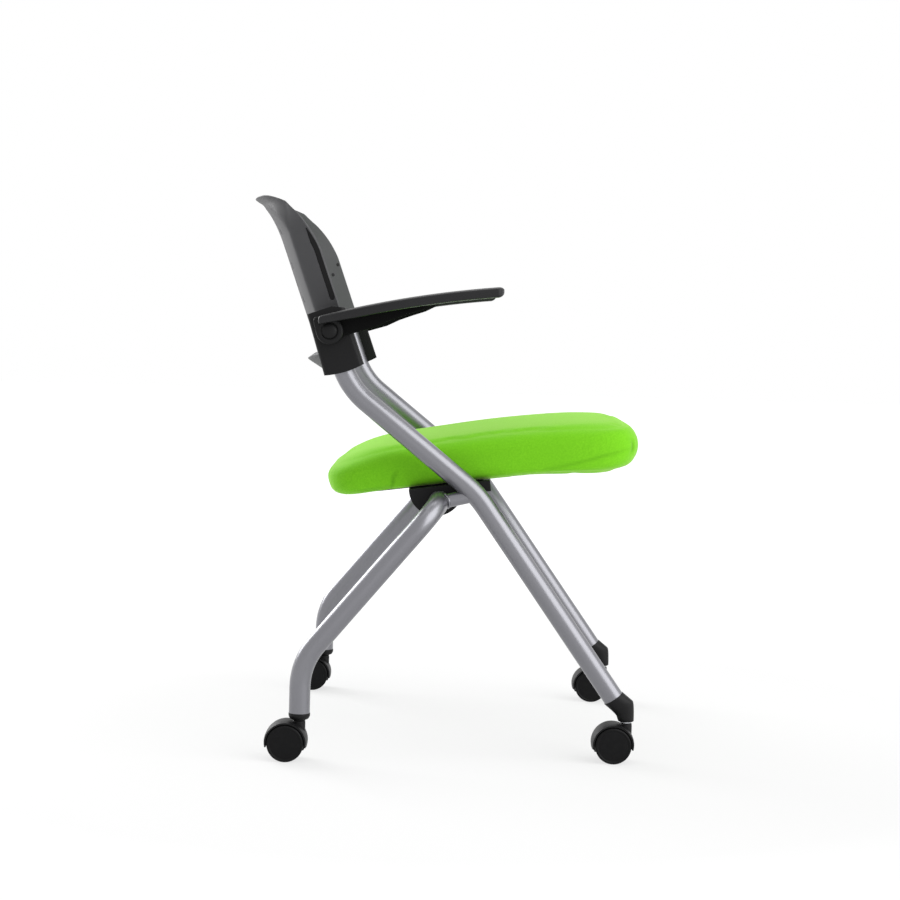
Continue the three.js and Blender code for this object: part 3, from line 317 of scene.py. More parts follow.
# A wave texture of scale 1 repeats every 2 pi / 20.
threads = [add(tree, "ShaderNodeTexWave", {"Vector": spot, "Scale": 2 * math.pi / 20 / weave_pitch,
               "Distortion": 0.35, "Detail": 1.0, "Detail Scale": 1.0}, bands_direction=way).outputs["Fac"]
           for way in "XYZ"]
crossed = add(tree, "ShaderNodeMath", {0: threads[0], 1: threads[1]}, operation="MULTIPLY")
woven = add(tree, "ShaderNodeMath", {0: crossed, 1: threads[2]}, operation="ADD")
slubs = add(tree, "ShaderNodeTexNoise", {"Vector": spot, "Scale": 1 / slub_size, "Detail": 2, "Roughness": 0.6})
slubbed = add(tree, "ShaderNodeMapRange", {0: slubs, 1: 0.3, 2: 0.7})
melange = add(tree, "ShaderNodeMix", {0: slubbed, 6: linear("69bc14"), 7: linear("7ccb20")}, data_type="RGBA")
patches = add(tree, "ShaderNodeTexNoise", {"Vector": spot, "Scale": 1 / patch_size, "Detail": 3})
faded = add(tree, "ShaderNodeMapRange", {0: patches, 1: 0.3, 2: 0.7, 3: 0, 4: 0.5})
uneven = add(tree, "ShaderNodeMix", {0: faded, 6: melange.outputs[2], 7: linear("72c31b")}, data_type="RGBA")
pressed = add(tree, "ShaderNodeAttribute", attribute_name="crease").outputs["Fac"]
# Painted shade: the deeper a crease is pressed, the more dark green is mixed into the cloth.
painted_crease_shade = add(tree, "ShaderNodeMapRange", {0: pressed, 1: 0, 2: deepest_crease, 3: 0, 4: 0.5})
lime = add(tree, "ShaderNodeMix", {0: painted_crease_shade, 6: uneven.outputs[2], 7: linear("3f8406")}, data_type="RGBA")
lumps = add(tree, "ShaderNodeBump", {"Height": slubs, "Distance": 0.15 * mm, "Strength": 0.35})
weave = add(tree, "ShaderNodeBump", {"Height": woven, "Distance": 0.06 * mm, "Strength": 0.4, "Normal": lumps})
fabric = add(tree, "ShaderNodeBsdfPrincipled", {"Base Color": lime.outputs[2], "Roughness": 0.85, "IOR": 1.45,
             "Specular IOR Level": 0.2, "Normal": weave, "Sheen Weight": 0.4, "Sheen Roughness": 0.4,
             "Sheen Tint": linear("dcf5a0")})
add(tree, "ShaderNodeOutputMaterial", {"Surface": fabric})
print("materials", len(bpy.data.materials))

# %% [markdown]
# ## Mesh helpers
# A few small functions turn rings of points into closed skins, and give a finished piece its
# material and its body in one line.

# %% Rings, skins and pieces
def new_object(name, vertices, faces, material, smooth=40):
    mesh = bpy.data.meshes.new(name)
    mesh.from_pydata([tuple(v) for v in vertices], [], faces)
    mesh.materials.append(material)
    piece = bpy.data.objects.new(name, mesh)
    bpy.context.scene.collection.objects.link(piece)
    tidy(piece, smooth)
    return piece


def tidy(piece, smooth=40):
    """Merges doubles, points the faces outwards and shades smooth up to an angle in degrees."""
    bm = bmesh.new()
    bm.from_mesh(piece.data)
    bmesh.ops.remove_doubles(bm, verts=bm.verts, dist=0.002 * mm)
    bmesh.ops.recalc_face_normals(bm, faces=bm.faces)
    bm.to_mesh(piece.data)
    bm.free()
    piece.data.shade_smooth()
    piece.data.set_sharp_from_angle(angle=math.radians(smooth))


def skin(rings, closed_ends=True):
    """Faces between rings of equally many points, with a fan at each end."""
    count = len(rings[0])
    vertices = [v for ring in rings for v in ring]
    faces = [(r * count + i, r * count + (i + 1) % count, (r + 1) * count + (i + 1) % count, (r + 1) * count + i)
             for r in range(len(rings) - 1) for i in range(count)]
    if closed_ends:
        for start in (0, (len(rings) - 1) * count):
            centre = sum((Vector(vertices[start + i]) for i in range(count)), Vector()) / count
            vertices.append(centre)
            faces += [(start + i, start + (i + 1) % count, len(vertices) - 1) for i in range(count)]
    return vertices, faces


def apply_modifiers(piece):
    """Replaces the mesh by the evaluated one, so that no modifier is left."""
    graph = bpy.context.evaluated_depsgraph_get()
    mesh = bpy.data.meshes.new_from_object(piece.evaluated_get(graph))
    piece.modifiers.clear()
    piece.data = mesh
    mesh.name = piece.name


def bevel(piece, width, segments=3, angle=35):
    modifier = piece.modifiers.new("edge", "BEVEL")
    modifier.width, modifier.segments = width, segments
    modifier.limit_method, modifier.angle_limit = "ANGLE", math.radians(angle)
    modifier.use_clamp_overlap = True
    apply_modifiers(piece)
    piece.data.shade_smooth()
    piece.data.set_sharp_from_angle(angle=math.radians(50))


def boolean(piece, cutter, operation="DIFFERENCE"):
    modifier = piece.modifiers.new("cut", "BOOLEAN")
    modifier.object, modifier.operation, modifier.solver = cutter, operation, "EXACT"
    apply_modifiers(piece)
    bpy.data.objects.remove(cutter)


def finish_piece(piece, body, slot, *nodes):
    """The piece rides on a CAD body and stands for the nodes that are named. slot is not used."""
    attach(piece, body)
    if nodes:
        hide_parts(*nodes)
    return piece


def turn_over(piece):
    """Makes a piece its own mirror image across the middle of the chair."""
    piece.data.transform(Matrix.Diagonal((-1, 1, 1, 1)))
    piece.data.flip_normals()


def mirrored(piece, name):
    """A copy of a piece for the other side of the chair."""
    twin = bpy.data.objects.new(name, piece.data.copy())
    bpy.context.scene.collection.objects.link(twin)
    turn_over(twin)
    return twin


def ring(centre, first, second, radius, count):
    return [centre + radius * (math.cos(a) * first + math.sin(a) * second)
            for a in (2 * math.pi * i / count for i in range(count))]


x_axis, y_axis, z_axis = Vector((1, 0, 0)), Vector((0, 1, 0)), Vector((0, 0, 1))
sides = (("right", -1), ("left", 1))

# %% [markdown]
# ## Frame of bent tube
# The real frame is 28.6 mm steel tube, cold bent on a mandrel and welded. Each tube is a
# path and a round section, which is a rule, so one Geometry Nodes tree makes them all: it turns
# a line of points into a curve and runs a circle along it.

# %% A tree that sweeps a round tube
tube_tree = bpy.data.node_groups.new("round tube", "GeometryNodeTree")
for name, kind in (("Geometry", "NodeSocketGeometry"), ("Radius", "NodeSocketFloat"), ("Sides", "NodeSocketInt"),
                   ("Material", "NodeSocketMaterial")):
    tube_tree.interface.new_socket(name, in_out="INPUT", socket_type=kind)
tube_tree.interface.new_socket("Geometry", in_out="OUTPUT", socket_type="NodeSocketGeometry")
given = add(tube_tree, "NodeGroupInput").outputs
path = add(tube_tree, "GeometryNodeMeshToCurve", {0: given["Geometry"]})
circle = add(tube_tree, "GeometryNodeCurvePrimitiveCircle", {"Resolution": given["Sides"], "Radius": given["Radius"]})
swept = add(tube_tree, "GeometryNodeCurveToMesh", {"Curve": path.outputs[0], "Profile Curve": circle.outputs[0],
            "Fill Caps": True})
smooth = add(tube_tree, "GeometryNodeSetShadeSmooth", {0: swept.outputs[0]})
whole = add(tube_tree, "GeometryNodeRealizeInstances", {0: smooth.outputs[0]})
coated = add(tube_tree, "GeometryNodeSetMaterial", {0: whole.outputs[0], "Material": given["Material"]})
add(tube_tree, "NodeGroupOutput", {0: coated.outputs[0]})


def set_inputs(modifier, **values):
    """Sets a tree's inputs by their sockets' identifiers."""
    for item in modifier.node_group.interface.items_tree:
        if item.item_type == "SOCKET" and item.in_out == "INPUT" and item.name in values:
            modifier[item.identifier] = values[item.name]


def grown(name, points, edges, tree, **values):
    """A plain mesh from a tree that is run on some points and edges."""
    mesh = bpy.data.meshes.new(name)
    mesh.from_pydata([tuple(p) for p in points], edges, [])
    piece = bpy.data.objects.new(name, mesh)
    bpy.context.scene.collection.objects.link(piece)
    modifier = piece.modifiers.new("tree", "NODES")
    modifier.node_group = tree
    set_inputs(modifier, **values)
    apply_modifiers(piece)
    return piece


def tube(name, points, radius, material=silver_coat, facets=48):
    piece = grown(name, points, [(i, i + 1) for i in range(len(points) - 1)], tube_tree,
                  Radius=radius, Sides=facets, Material=material)
    tidy(piece, 50)
    return piece


# %% Straight runs and round bends
def bent(corners, radii, step=4):
    """Points along straight runs joined by arcs; step is the angle between points in degrees."""
    corners = [Vector(c) for c in corners]
    points = [corners[0]]
    for before, corner, after, radius in zip(corners, corners[1:], corners[2:], radii):
        a, b = (corner - before).normalized(), (after - corner).normalized()
        angle = a.angle(b)
        start = corner - a * radius * math.tan(angle / 2)
        inward = (b - a * a.dot(b)).normalized()
        count = max(3, math.ceil(math.degrees(angle) / step))
        for k in range(count + 1):
            turned = angle * k / count
            points.append(start + a * radius * math.sin(turned) + inward * radius * (1 - math.cos(turned)))
    return points + [corners[-1]]


tube_radius, cross_radius, link_radius = 14.3 * mm, 11 * mm, 9.5 * mm
main_x, rear_x = 238 * mm, 280 * mm
lean = math.radians(19.5)
seat_run, front_leg = math.radians(38.6), math.radians(54.7)
neck_z, leg_end_z, upright_length = 506.7 * mm, 88.4 * mm, 95
neck_bend, knee_bend, rear_leg_bend, crossbar_bend = 105 * mm, 150 * mm, 90 * mm, 50 * mm


def yz(y, z):
    """A side-view place from the CAD's own Y, in mm, to this frame."""
    return y * mm + y_shift, z * mm


knee = Vector((0, *yz(-47.3, 364.5)))
neck = Vector((0, knee.y + (neck_z - knee.z) / math.tan(seat_run), neck_z))
along = Vector((0, math.sin(lean), math.cos(lean)))
rearward = Vector((0, math.cos(lean), -math.sin(lean)))
upright_top = neck + along * upright_length * mm
leg_end = Vector((0, knee.y - (knee.z - leg_end_z) / math.tan(front_leg), leg_end_z))
crossbar = Vector((0, crossbar_y, crossbar_z))
rear_bend = Vector((0, *yz(186.5, 133)))
rear_foot = Vector((0, *yz(186.5, 62)))

main_path = bent([upright_top, neck, knee, leg_end], [neck_bend, knee_bend])
for label, side in sides:
    finish_piece(tube(f"main_tube_{label}_coated", [p + x_axis * side * main_x for p in main_path], tube_radius),
                 "frame", "silver_paint", f"main_tube_{label}")
    finish_piece(tube(f"link_tube_{label}_coated", [crossbar + x_axis * side * main_x, knee + x_axis * side * main_x],
                      link_radius), "frame", "silver_paint", f"link_tube_{label}")
rear_path = bent([rear_foot - x_axis * rear_x, rear_bend - x_axis * rear_x, crossbar - x_axis * rear_x,
                  crossbar + x_axis * rear_x, rear_bend + x_axis * rear_x, rear_foot + x_axis * rear_x],
                 [rear_leg_bend, crossbar_bend, crossbar_bend, rear_leg_bend])
finish_piece(tube("rear_leg_tube_coated", rear_path, tube_radius), "frame", "silver_paint", "rear_leg_tube")
finish_piece(tube("front_cross_tube_coated", [knee - x_axis * main_x, knee + x_axis * main_x], cross_radius),
             "frame", "silver_paint", "front_cross_tube")
print("tube paths", len(main_path), len(rear_path), "points")

# %% [markdown]
# ## Weld beads
# A welder runs a bead of overlapping ripples round each joint, and the coat softens it. A bead
# follows the curve where one tube meets another, so it is a ring of points on the smaller tube,
# moved along that tube until it touches the larger one.

# %% Weld beads round the tube ends
def weld_ring(start, direction, radius, other_point, other_axis, other_radius):
    """Points where a tube that leaves start along direction comes out of a larger round tube."""
    points = []
    first = other_axis.cross(direction).normalized()
    second = direction.cross(first)
    for edge in ring(start, first, second, radius, 48):
        offset = edge - other_point
        offset -= other_axis * offset.dot(other_axis)
        ray = direction - other_axis * direction.dot(other_axis)
        a, b, c = ray.dot(ray), 2 * offset.dot(ray), offset.dot(offset) - other_radius**2
        points.append(edge + direction * ((-b + math.sqrt(max(0, b * b - 4 * a * c))) / (2 * a)))
    return points


def weld(name, points, thickness=1.7 * mm):
    count = len(points)
    middle = sum(points, Vector()) / count
    rings = []
    for i, point in enumerate(points):
        tangent = (points[(i + 1) % count] - points[i - 1]).normalized()
        outward = (point - middle).normalized()
        outward = (outward - tangent * outward.dot(tangent)).normalized()
        # One ripple to every three points, an eighth higher and lower than the bead.
        ripple = thickness * (1 + 0.12 * math.sin(i * 2 * math.pi / 3))
        rings.append(ring(point, outward, tangent.cross(outward), ripple, 10))
    vertices, faces = skin([*rings, rings[0]], closed_ends=False)
    return new_object(name, vertices, faces, silver_coat)


run_down = (knee - neck).normalized()
leg_down = (leg_end - knee).normalized()
link_axis = (knee - crossbar).normalized()
for label, side in sides:
    across_x = x_axis * side * main_x
    rear_ring = weld_ring(crossbar + across_x, link_axis, link_radius, crossbar + across_x, x_axis, tube_radius)
    finish_piece(weld(f"link_weld_rear_{label}", rear_ring), "frame", "silver_paint")
    cross_ring = weld_ring(knee + across_x, -x_axis * side, cross_radius, knee + across_x,
                           (run_down + leg_down).normalized(), tube_radius)
    finish_piece(weld(f"cross_weld_{label}", cross_ring), "frame", "silver_paint")
print("weld beads", 2 * len(sides))

# %% [markdown]
# ## Back shell
# The back is one polypropylene moulding. Its panel bulges to the rear, its sides turn forward
# as wings, its top edge sweeps back and its bottom edge rolls up behind. A surface that follows
# such rules is best made as a grid of points from a formula, thickened along its normals.

# %% The shell's surface
# Sizes in mm, measured from the neck: x across, y behind the upright's axis, z along it.
shell_half, crease_x = 222.0, 205.0
shell_bottom, shell_top = 34.0, 297.8
rear_offset, dish_depth, dish_power = 37.4, 24.4, 2.24
wing_depth, wing_start, wing_rise = 32.4, 98.0, 9.0
fade_start, fade_end, fade_power = 190.0, 294.0, 1.5
corner_radius, top_arch, lip_sweep, lip_fade, lip_power, lip_height = 79.5, 16.0, 19.6, 0.4, 3.63, 95.0
shell_wall, lip_thinning = 4.0, 0.65
crease_ease, corner_ease, ease_start, ease_rise = 2.0, 4.0, 225.0, 40.0


def soft_step(t):
    t = min(1.0, max(0.0, t))
    return t * t * (3 - 2 * t)


def rounded_ramp(t, rounding=0.16):
    """About 0 below 0 and t above it, up to 1, with a round corner between them."""
    return min(1, (t + math.sqrt(t * t + rounding**2)) / (1 + math.sqrt(1 + rounding**2)))


def shell_local(share, height):
    """Rear face of the shell in mm: across from -1 to 1, at a height along the upright."""
    x, z = share * shell_half, height
    corner_x, corner_z = shell_half - corner_radius, shell_top - corner_radius
    inset = min(shell_half - abs(x), shell_top - z)
    if abs(x) > corner_x and z > corner_z:
        p, q = (abs(x) - corner_x) / corner_radius, (z - corner_z) / corner_radius
        x = math.copysign(corner_x + corner_radius * p * math.sqrt(1 - q * q / 2), x)
        z = corner_z + corner_radius * q * math.sqrt(1 - p * p / 2)
        inset = corner_radius - math.hypot(abs(x) - corner_x, z - corner_z)
    part = x / shell_half
    z -= top_arch * part * part * max(0, 1 - (shell_top - height) / lip_height)
    lip = max(0, 1 - (shell_top - z) / lip_height) ** lip_power
    toward_crease = min(1, abs(share) * shell_half / crease_x)
    dish = dish_depth * toward_crease**dish_power
    # The crease runs parallel to the border, also round the top corners.
    outside = rounded_ramp(1 - inset / (shell_half - crease_x))
    fading = max(0, (z - fade_start) / (fade_end - fade_start)) ** fade_power
    risen = soft_step((height - wing_start) / wing_rise)
    wing = wing_depth * outside * max(0, 1 - fading) * risen
    # Inside the edge band the panel stands a little further back, so the band shows as a face.
    ease = (crease_ease + corner_ease * soft_step((z - ease_start) / ease_rise)) * risen * toward_crease**2
    ease *= 1 - outside
    return Vector((x, rear_offset + lip_sweep * lip * (1 - lip_fade * part * part) - dish - wing + ease, z))


def from_upright(point):
    """A point measured from the neck, in mm, to this frame: x across, y behind, z along the upright."""
    return neck + (x_axis * point[0] + rearward * point[1] + along * point[2]) * mm


# %% Grid, thickness and border
def shell_grid():
    """Points lie closer together at the crease, at the border and where the wings begin."""
    shares = sorted({round(s * t, 5) for s in (-1, 1) for t in
                     [*np.linspace(0, 0.90, 37), *np.linspace(0.905, 0.945, 9), *np.linspace(0.95, 1, 10)]})
    heights = [*np.linspace(shell_bottom, wing_start, 12), *np.linspace(wing_start, wing_start + wing_rise, 7)[1:],
               *np.linspace(wing_start + wing_rise, shell_top, 66)[1:]]
    return [[shell_local(share, height) for share in shares] for height in heights], heights


rows, heights = shell_grid()
wide = len(rows[0])
rear_points = np.array([[tuple(p) for p in row] for row in rows])
row_way = np.gradient(rear_points, axis=0)
column_way = np.gradient(rear_points, axis=1)
normals = np.cross(row_way, column_way)
normals /= np.maximum(np.linalg.norm(normals, axis=2, keepdims=True), 1e-9)
if normals[len(rows) // 2, wide // 2, 1] > 0:
    normals = -normals
tops = np.array(heights)
# The wall thins towards the swept top edge.
thin = 1 - lip_thinning * np.clip(1 - (shell_top - tops) / lip_height, 0, None) ** 3
front_points = rear_points + normals * (shell_wall * thin)[:, None, None]
points = [from_upright(p) for p in [*rear_points.reshape(-1, 3), *front_points.reshape(-1, 3)]]
deep = len(rows)
total = deep * wide
faces = []
for r in range(deep - 1):
    for c in range(wide - 1):
        a = r * wide + c
        faces.append((a, a + 1, a + wide + 1, a + wide))
        faces.append((total + a + wide, total + a + wide + 1, total + a + 1, total + a))
border = ([c for c in range(wide - 1)] + [r * wide + wide - 1 for r in range(deep - 1)]
          + [(deep - 1) * wide + c for c in range(wide - 1, 0, -1)] + [r * wide for r in range(deep - 1, 0, -1)])
faces += [(b, a, total + a, total + b) for a, b in zip(border, border[1:] + border[:1])]
shell = new_object("back_shell_moulded", points, faces, grey_shell, 50)
print("shell", deep, "x", wide, "points")

# %% [markdown]
# ### Ledge
# The bottom edge rolls up behind into a ledge, which shows as a pale lip behind the near bracket.
# The grid would have to bend too tightly there, so the ledge is a solid of its own: one section,
# lofted from side to side along the dish of the back, and joined to the shell by a boolean.

# %% Ledge behind the bottom edge
ledge_half, ledge_reach, ledge_low, ledge_rise = 196.0, 18.0, 33.5, 27.5
ledge_section = [(1, -0.1), (0.97, 0.35), (0.90, 0.72), (0.85, 0.97), (0.80, 1.0), (0.74, 0.96), (0.55, 0.74),
                 (0.36, 0.5), (0.2, 0.31), (0.08, 0.15), (0.02, 0.04), (0, -0.12), (0.25, -0.2)]
ledge_rings = []
for x in np.linspace(-ledge_half, ledge_half, 41):
    base = rear_offset - dish_depth * (abs(x) / crease_x) ** dish_power
    # The ledge reaches half as far at its ends.
    kept = 1 - 0.5 * (x / ledge_half) ** 4
    section = []
    for rise_share, reach_share in ledge_section:
        reach = ledge_reach * reach_share * (kept if reach_share > 0 else 1)
        section.append(from_upright((x, base + reach, ledge_low + ledge_rise * rise_share)))
    ledge_rings.append(section)
boolean(shell, new_object("ledge", *skin(ledge_rings), grey_shell, 40), "UNION")
print("ledge rings", len(ledge_rings))

# %% [markdown]
# ## Perforations
# The panel is pierced by staggered oval holes, of which a side view shows only a few, so their
# field is a guess. Holes repeat on a rule: a Geometry Nodes tree puts one oval cutter at each
# point of the field, and they are cut out together.

# %% A tree that puts a cutter at each point
def prism(name, outline, first, second, depth_way, depth, origin, material=grey_shell):
    """A straight-sided solid from an outline in two directions, in mm."""
    low = [origin + (first * u + second * v - depth_way * depth / 2) * mm for u, v in outline]
    high = [p + depth_way * depth * mm for p in low]
    count = len(outline)
    faces = [tuple(range(count)), tuple(reversed(range(count, 2 * count)))]
    faces += [(i, i + count, (i + 1) % count + count, (i + 1) % count) for i in range(count)]
    return new_object(name, [*low, *high], faces, material)


def oval(width, height, count=24):
    straight = (height - width) / 2
    return [(width / 2 * math.cos(a), width / 2 * math.sin(a) + math.copysign(straight, math.sin(a)))
            for a in (2 * math.pi * (i + 0.5) / count for i in range(count))]


field_tree = bpy.data.node_groups.new("field of cutters", "GeometryNodeTree")
for name, kind in (("Geometry", "NodeSocketGeometry"), ("Cutter", "NodeSocketObject"), ("Lean", "NodeSocketVector"),
                   ("Material", "NodeSocketMaterial")):
    field_tree.interface.new_socket(name, in_out="INPUT", socket_type=kind)
field_tree.interface.new_socket("Geometry", in_out="OUTPUT", socket_type="NodeSocketGeometry")
given = add(field_tree, "NodeGroupInput").outputs
shape = add(field_tree, "GeometryNodeObjectInfo", {"Object": given["Cutter"]})
turned = add(field_tree, "FunctionNodeEulerToRotation", {0: given["Lean"]})
spots = add(field_tree, "GeometryNodeInstanceOnPoints", {"Points": given["Geometry"],
            "Instance": shape.outputs["Geometry"], "Rotation": turned.outputs[0]})
solid = add(field_tree, "GeometryNodeRealizeInstances", {0: spots.outputs[0]})
dressed = add(field_tree, "GeometryNodeSetMaterial", {0: solid.outputs[0], "Material": given["Material"]})
add(field_tree, "NodeGroupOutput", {0: dressed.outputs[0]})

hole_pitch_x, hole_pitch_z, hole_width, hole_height = 27.0, 25.0, 6.5, 10.0
field_low, field_rows, field_columns, cutter_length = 111, 7, 6, 30
field = []
for row in range(field_rows):
    height = field_low + row * hole_pitch_z
    for column in range(row % 2, field_columns, 2):
        for sign in ((-1, 1) if column else (1,)):
            x = sign * column * hole_pitch_x
            field.append(from_upright((x, shell_local(x / shell_half, height).y - shell_wall / 2, height)))
cutter = prism("oval cutter", oval(hole_width, hole_height), x_axis, z_axis, y_axis, cutter_length, Vector())
holes = grown("perforations", field, [], field_tree, Cutter=cutter, Lean=(-lean, 0, 0), Material=grey_shell)
bpy.data.objects.remove(cutter)
boolean(shell, holes)
print("perforations", len(field))

# %% [markdown]
# ## Wing grooves
# Near the front edge of each wing runs a long groove with a black strip at its bottom. It is
# round below and narrows to a tip in its top quarter. It is a blind groove in the outer face, and
# its bevelled rim catches a line of light. The black strip is painted shade: it stands in for the
# shade inside a deeper slot. The cutter follows the wing, because its sections are taken from the
# wing's own surface.

# %% Grooves and strips
groove_low, groove_high, groove_width, groove_margin, groove_depth = 120.5, 236.0, 7.4, 1.3, 2.2
groove_steps, slimmest_half = 26, 0.12
# At its top the groove keeps this share of its width, and of its distance from the wing's edge,
# and gains this much more of each for every whole length further down, until it is full.
tip_width, width_gain = 0.15, 3.2
tip_margin, margin_gain = 0.45, 2.1
# (depth, how much wider): the rim is bevelled, 1.4 mm wider at the face than 1.2 mm down.
groove_levels = ((-2, 3.2), (0, 1.4), (1.2, 0), (groove_depth, 0))
# The black strip that paints the shade at the groove's bottom: its levels and how far it overlaps.
painted_shade_levels, painted_shade_overlap = ((groove_depth - 0.35, 0), (groove_depth + 0.6, 0)), 0.4


def wing_place(behind_edge, height, into):
    """A place on a wing, in mm: behind its front edge, along the upright and into the wall."""
    shares = np.linspace(crease_x / shell_half, 1, 60)
    depths = np.array([shell_local(t, height).y for t in shares]) - shell_local(1, height).y
    share = float(np.interp(behind_edge, depths[::-1], shares[::-1]))
    here = shell_local(share, height)
    way = shell_local(max(0, share - 0.012), height) - here
    face = way.cross(Vector((0, 0, 1))).normalized()
    face *= 1 if face.x < 0 else -1
    return here + face * into


def groove_sections(grow, levels):
    """Rings up the groove; levels are (depth, how much wider behind, and half of that in front)."""
    sections = []
    for t in [0, 0.15, 0.4, 0.7, 1, *np.linspace(1.4, groove_steps, 40)]:
        height = groove_low - grow + t * (groove_high - groove_low + 2 * grow) / groove_steps
        round_end = math.sqrt(max(0.0, 1 - max(0.0, 1 - (height - groove_low + grow) / (groove_width / 2)) ** 2))
        high_share = max(0.0, (groove_high + grow - height) / (groove_high - groove_low))
        full_half = groove_width / 2 * min(1, tip_width + high_share * width_gain) + grow
        half = max(slimmest_half, full_half * max(0.15, round_end))
        middle = groove_margin + groove_width / 2 * min(1, tip_margin + high_share * margin_gain)
        rear = [wing_place(middle + half + wider, height, depth) for depth, wider in levels]
        front = [wing_place(middle - half - wider * 0.5, height, depth) for depth, wider in reversed(levels)]
        sections.append([from_upright(place) for place in rear + front])
    return sections


# Each groove is cut, and a black strip of painted shade is laid at its bottom.
for label, side in sides:
    for name, grow, levels, material in (("groove", 0, groove_levels, grey_shell),
                                         ("strip", painted_shade_overlap, painted_shade_levels, black_nylon)):
        made = new_object(f"wing_{name}_{label}", *skin(groove_sections(grow, levels)), material, 40)
        if side < 0:
            turn_over(made)
        if name == "groove":
            boolean(shell, made)
        else:
            finish_piece(made, "frame", "black_plastic")
bevel(shell, 0.4 * mm, 2, 60)
finish_piece(shell, "frame", "grey_plastic", "back_shell")
print("shell faces", len(shell.data.polygons))

# %% [markdown]
# ## Back brackets
# Each bracket is a solid nylon moulding that is pushed over the upright, with an ear behind the
# shell. Moulded blocks come out cleanly from a few solids that are joined and cut, with one
# narrow bevel over every sharp edge at the end, as a mould has.

# %% Outlines for moulded blocks
def softened(outline, rounds=2):
    """Cuts each corner of a closed outline in turn, which rounds it (Chaikin's rule)."""
    for _ in range(rounds):
        outline = [(a[0] + (b[0] - a[0]) * t, a[1] + (b[1] - a[1]) * t)
                   for a, b in zip(outline, outline[1:] + outline[:1]) for t in (0.25, 0.75)]
    return outline


def rounded_box(low, high, radii, steps=8):
    """A rectangle with its own radius at each corner, anticlockwise from the lowest corner."""
    points = []
    places = ((low[0], low[1], 1, 1, 180), (high[0], low[1], -1, 1, 270),
              (high[0], high[1], -1, -1, 0), (low[0], high[1], 1, -1, 90))
    for (u, v, inward_u, inward_v, start), radius in zip(places, radii):
        for k in range(steps + 1):
            angle = math.radians(start + 90 * k / steps)
            points.append((u + radius * (inward_u + math.cos(angle)), v + radius * (inward_v + math.sin(angle))))
    return points


def joined(name, pieces):
    """One object from several whose closed bodies may run into each other."""
    bm = bmesh.new()
    for piece in pieces:
        bm.from_mesh(piece.data)
    mesh = bpy.data.meshes.new(name)
    bm.to_mesh(mesh)
    bm.free()
    mesh.materials.append(pieces[0].data.materials[0])
    for piece in pieces:
        bpy.data.objects.remove(piece)
    whole_piece = bpy.data.objects.new(name, mesh)
    bpy.context.scene.collection.objects.link(whole_piece)
    return whole_piece


def lathe(name, profile, centre, axis, material, count=64, smooth=35):
    """Turns a profile of (radius, reach) in mm round an axis."""
    first = (x_axis if abs(axis.z) > 0.9 else z_axis).cross(axis).normalized()
    rings = [ring(centre + axis * reach * mm, first, axis.cross(first), radius * mm, count)
             for radius, reach in profile]
    return new_object(name, *skin(rings), material, smooth)


# %% Bracket round each upright
# Places in mm: x across, and as for the shell behind the upright's axis and along it.
bracket_low, bracket_high, bracket_rear, bracket_flare = 20.0, 112.0, 23.3, 3.7
fit_gap = 0.3
bracket = prism("back_bracket_right_moulded", rounded_box((-256, -29), (-236, bracket_rear), (7, 1, 1, 7)),
                x_axis, rearward, along, bracket_high - bracket_low,
                neck + along * (bracket_low + bracket_high) / 2 * mm, black_nylon)
# The block widens to the rear, by more the lower it is.
for vertex in bracket.data.vertices:
    behind, height = (vertex.co - neck).dot(rearward) / mm, (vertex.co - neck).dot(along) / mm
    lowness = (bracket_high - height) / (bracket_high - 25)
    vertex.co += rearward * bracket_flare * lowness * max(0, behind / bracket_rear) * mm
block_middle = neck - x_axis * 246 * mm
belly = [(n, 22.0 + 3.6 * ((n + 5) / 30) ** 2) for n in np.linspace(-34, 34, 25)]
below = [*belly, (34, 10), (-34, 10)]
boolean(bracket, prism("belly", below, rearward, along, x_axis, 60, block_middle, black_nylon))
front_slope = [(-10, 113), (-44, 98.3), (-44, 122), (-10, 122)]
boolean(bracket, prism("front slope", front_slope, rearward, along, x_axis, 40, block_middle, black_nylon))
ear = prism("ear", rounded_box((-235.5, 33), (-207, 104), (1, 9, 9, 1)), x_axis, along, rearward, 6,
            neck + rearward * 16.3 * mm, black_nylon)
boolean(bracket, ear, "UNION")
channel_path = [upright_top + along * fit_gap * mm - x_axis * main_x, *[p - x_axis * main_x for p in main_path]]
boolean(bracket, tube("channel", channel_path, tube_radius + fit_gap * mm, black_nylon))
bevel(bracket, 1.5 * mm, 4, 30)
twin = mirrored(bracket, "back_bracket_left_moulded")
finish_piece(bracket, "frame", "black_plastic", "back_bracket_right")
finish_piece(twin, "frame", "black_plastic", "back_bracket_left")
print("bracket faces", len(bracket.data.polygons))

# %% [markdown]
# ### Plugs in the wings
# Two small dark plugs show on the inner face of each wing: they are painted shade, standing in
# for the shade inside two small holes. A plug is a turned disc with a rounded edge, set into the
# wall at a right angle, so its axis is taken from the wing's surface.

# %% Plugs in the wings
hole_shade_places = ((3.8, 182), (15.7, 169))
hole_shade_profile = [(2.6, -1.0), (2.6, 0.2), (2.3, 0.5), (0.3, 0.6)]
# Each plug is a dark disc that paints the shade of a small hole.
for number, (behind_edge, height) in enumerate(hole_shade_places):
    outer, inner = (from_upright(wing_place(behind_edge, height, depth)) for depth in (0, shell_wall))
    hole_shade_plug = lathe(f"wing_plug_right_{number}_moulded", hole_shade_profile, inner, (inner - outer).normalized(),
                 black_nylon, 24)
    turn_over(hole_shade_plug)  # wing_place gives the left wing
    for piece in (hole_shade_plug, mirrored(hole_shade_plug, f"wing_plug_left_{number}_moulded")):
        finish_piece(piece, "frame", "black_plastic")
print("plugs", len(hole_shade_places) * len(sides))

# %% [markdown]
# ## Arms
# An arm is a soft pad over a stiff nylon lever that turns on a round hub. The pad's section
# changes from a narrow rear to a wide front, so it is a skin over a row of sections. The lever
# is a flat plate with a hub, and a domed cap hides the bolt.

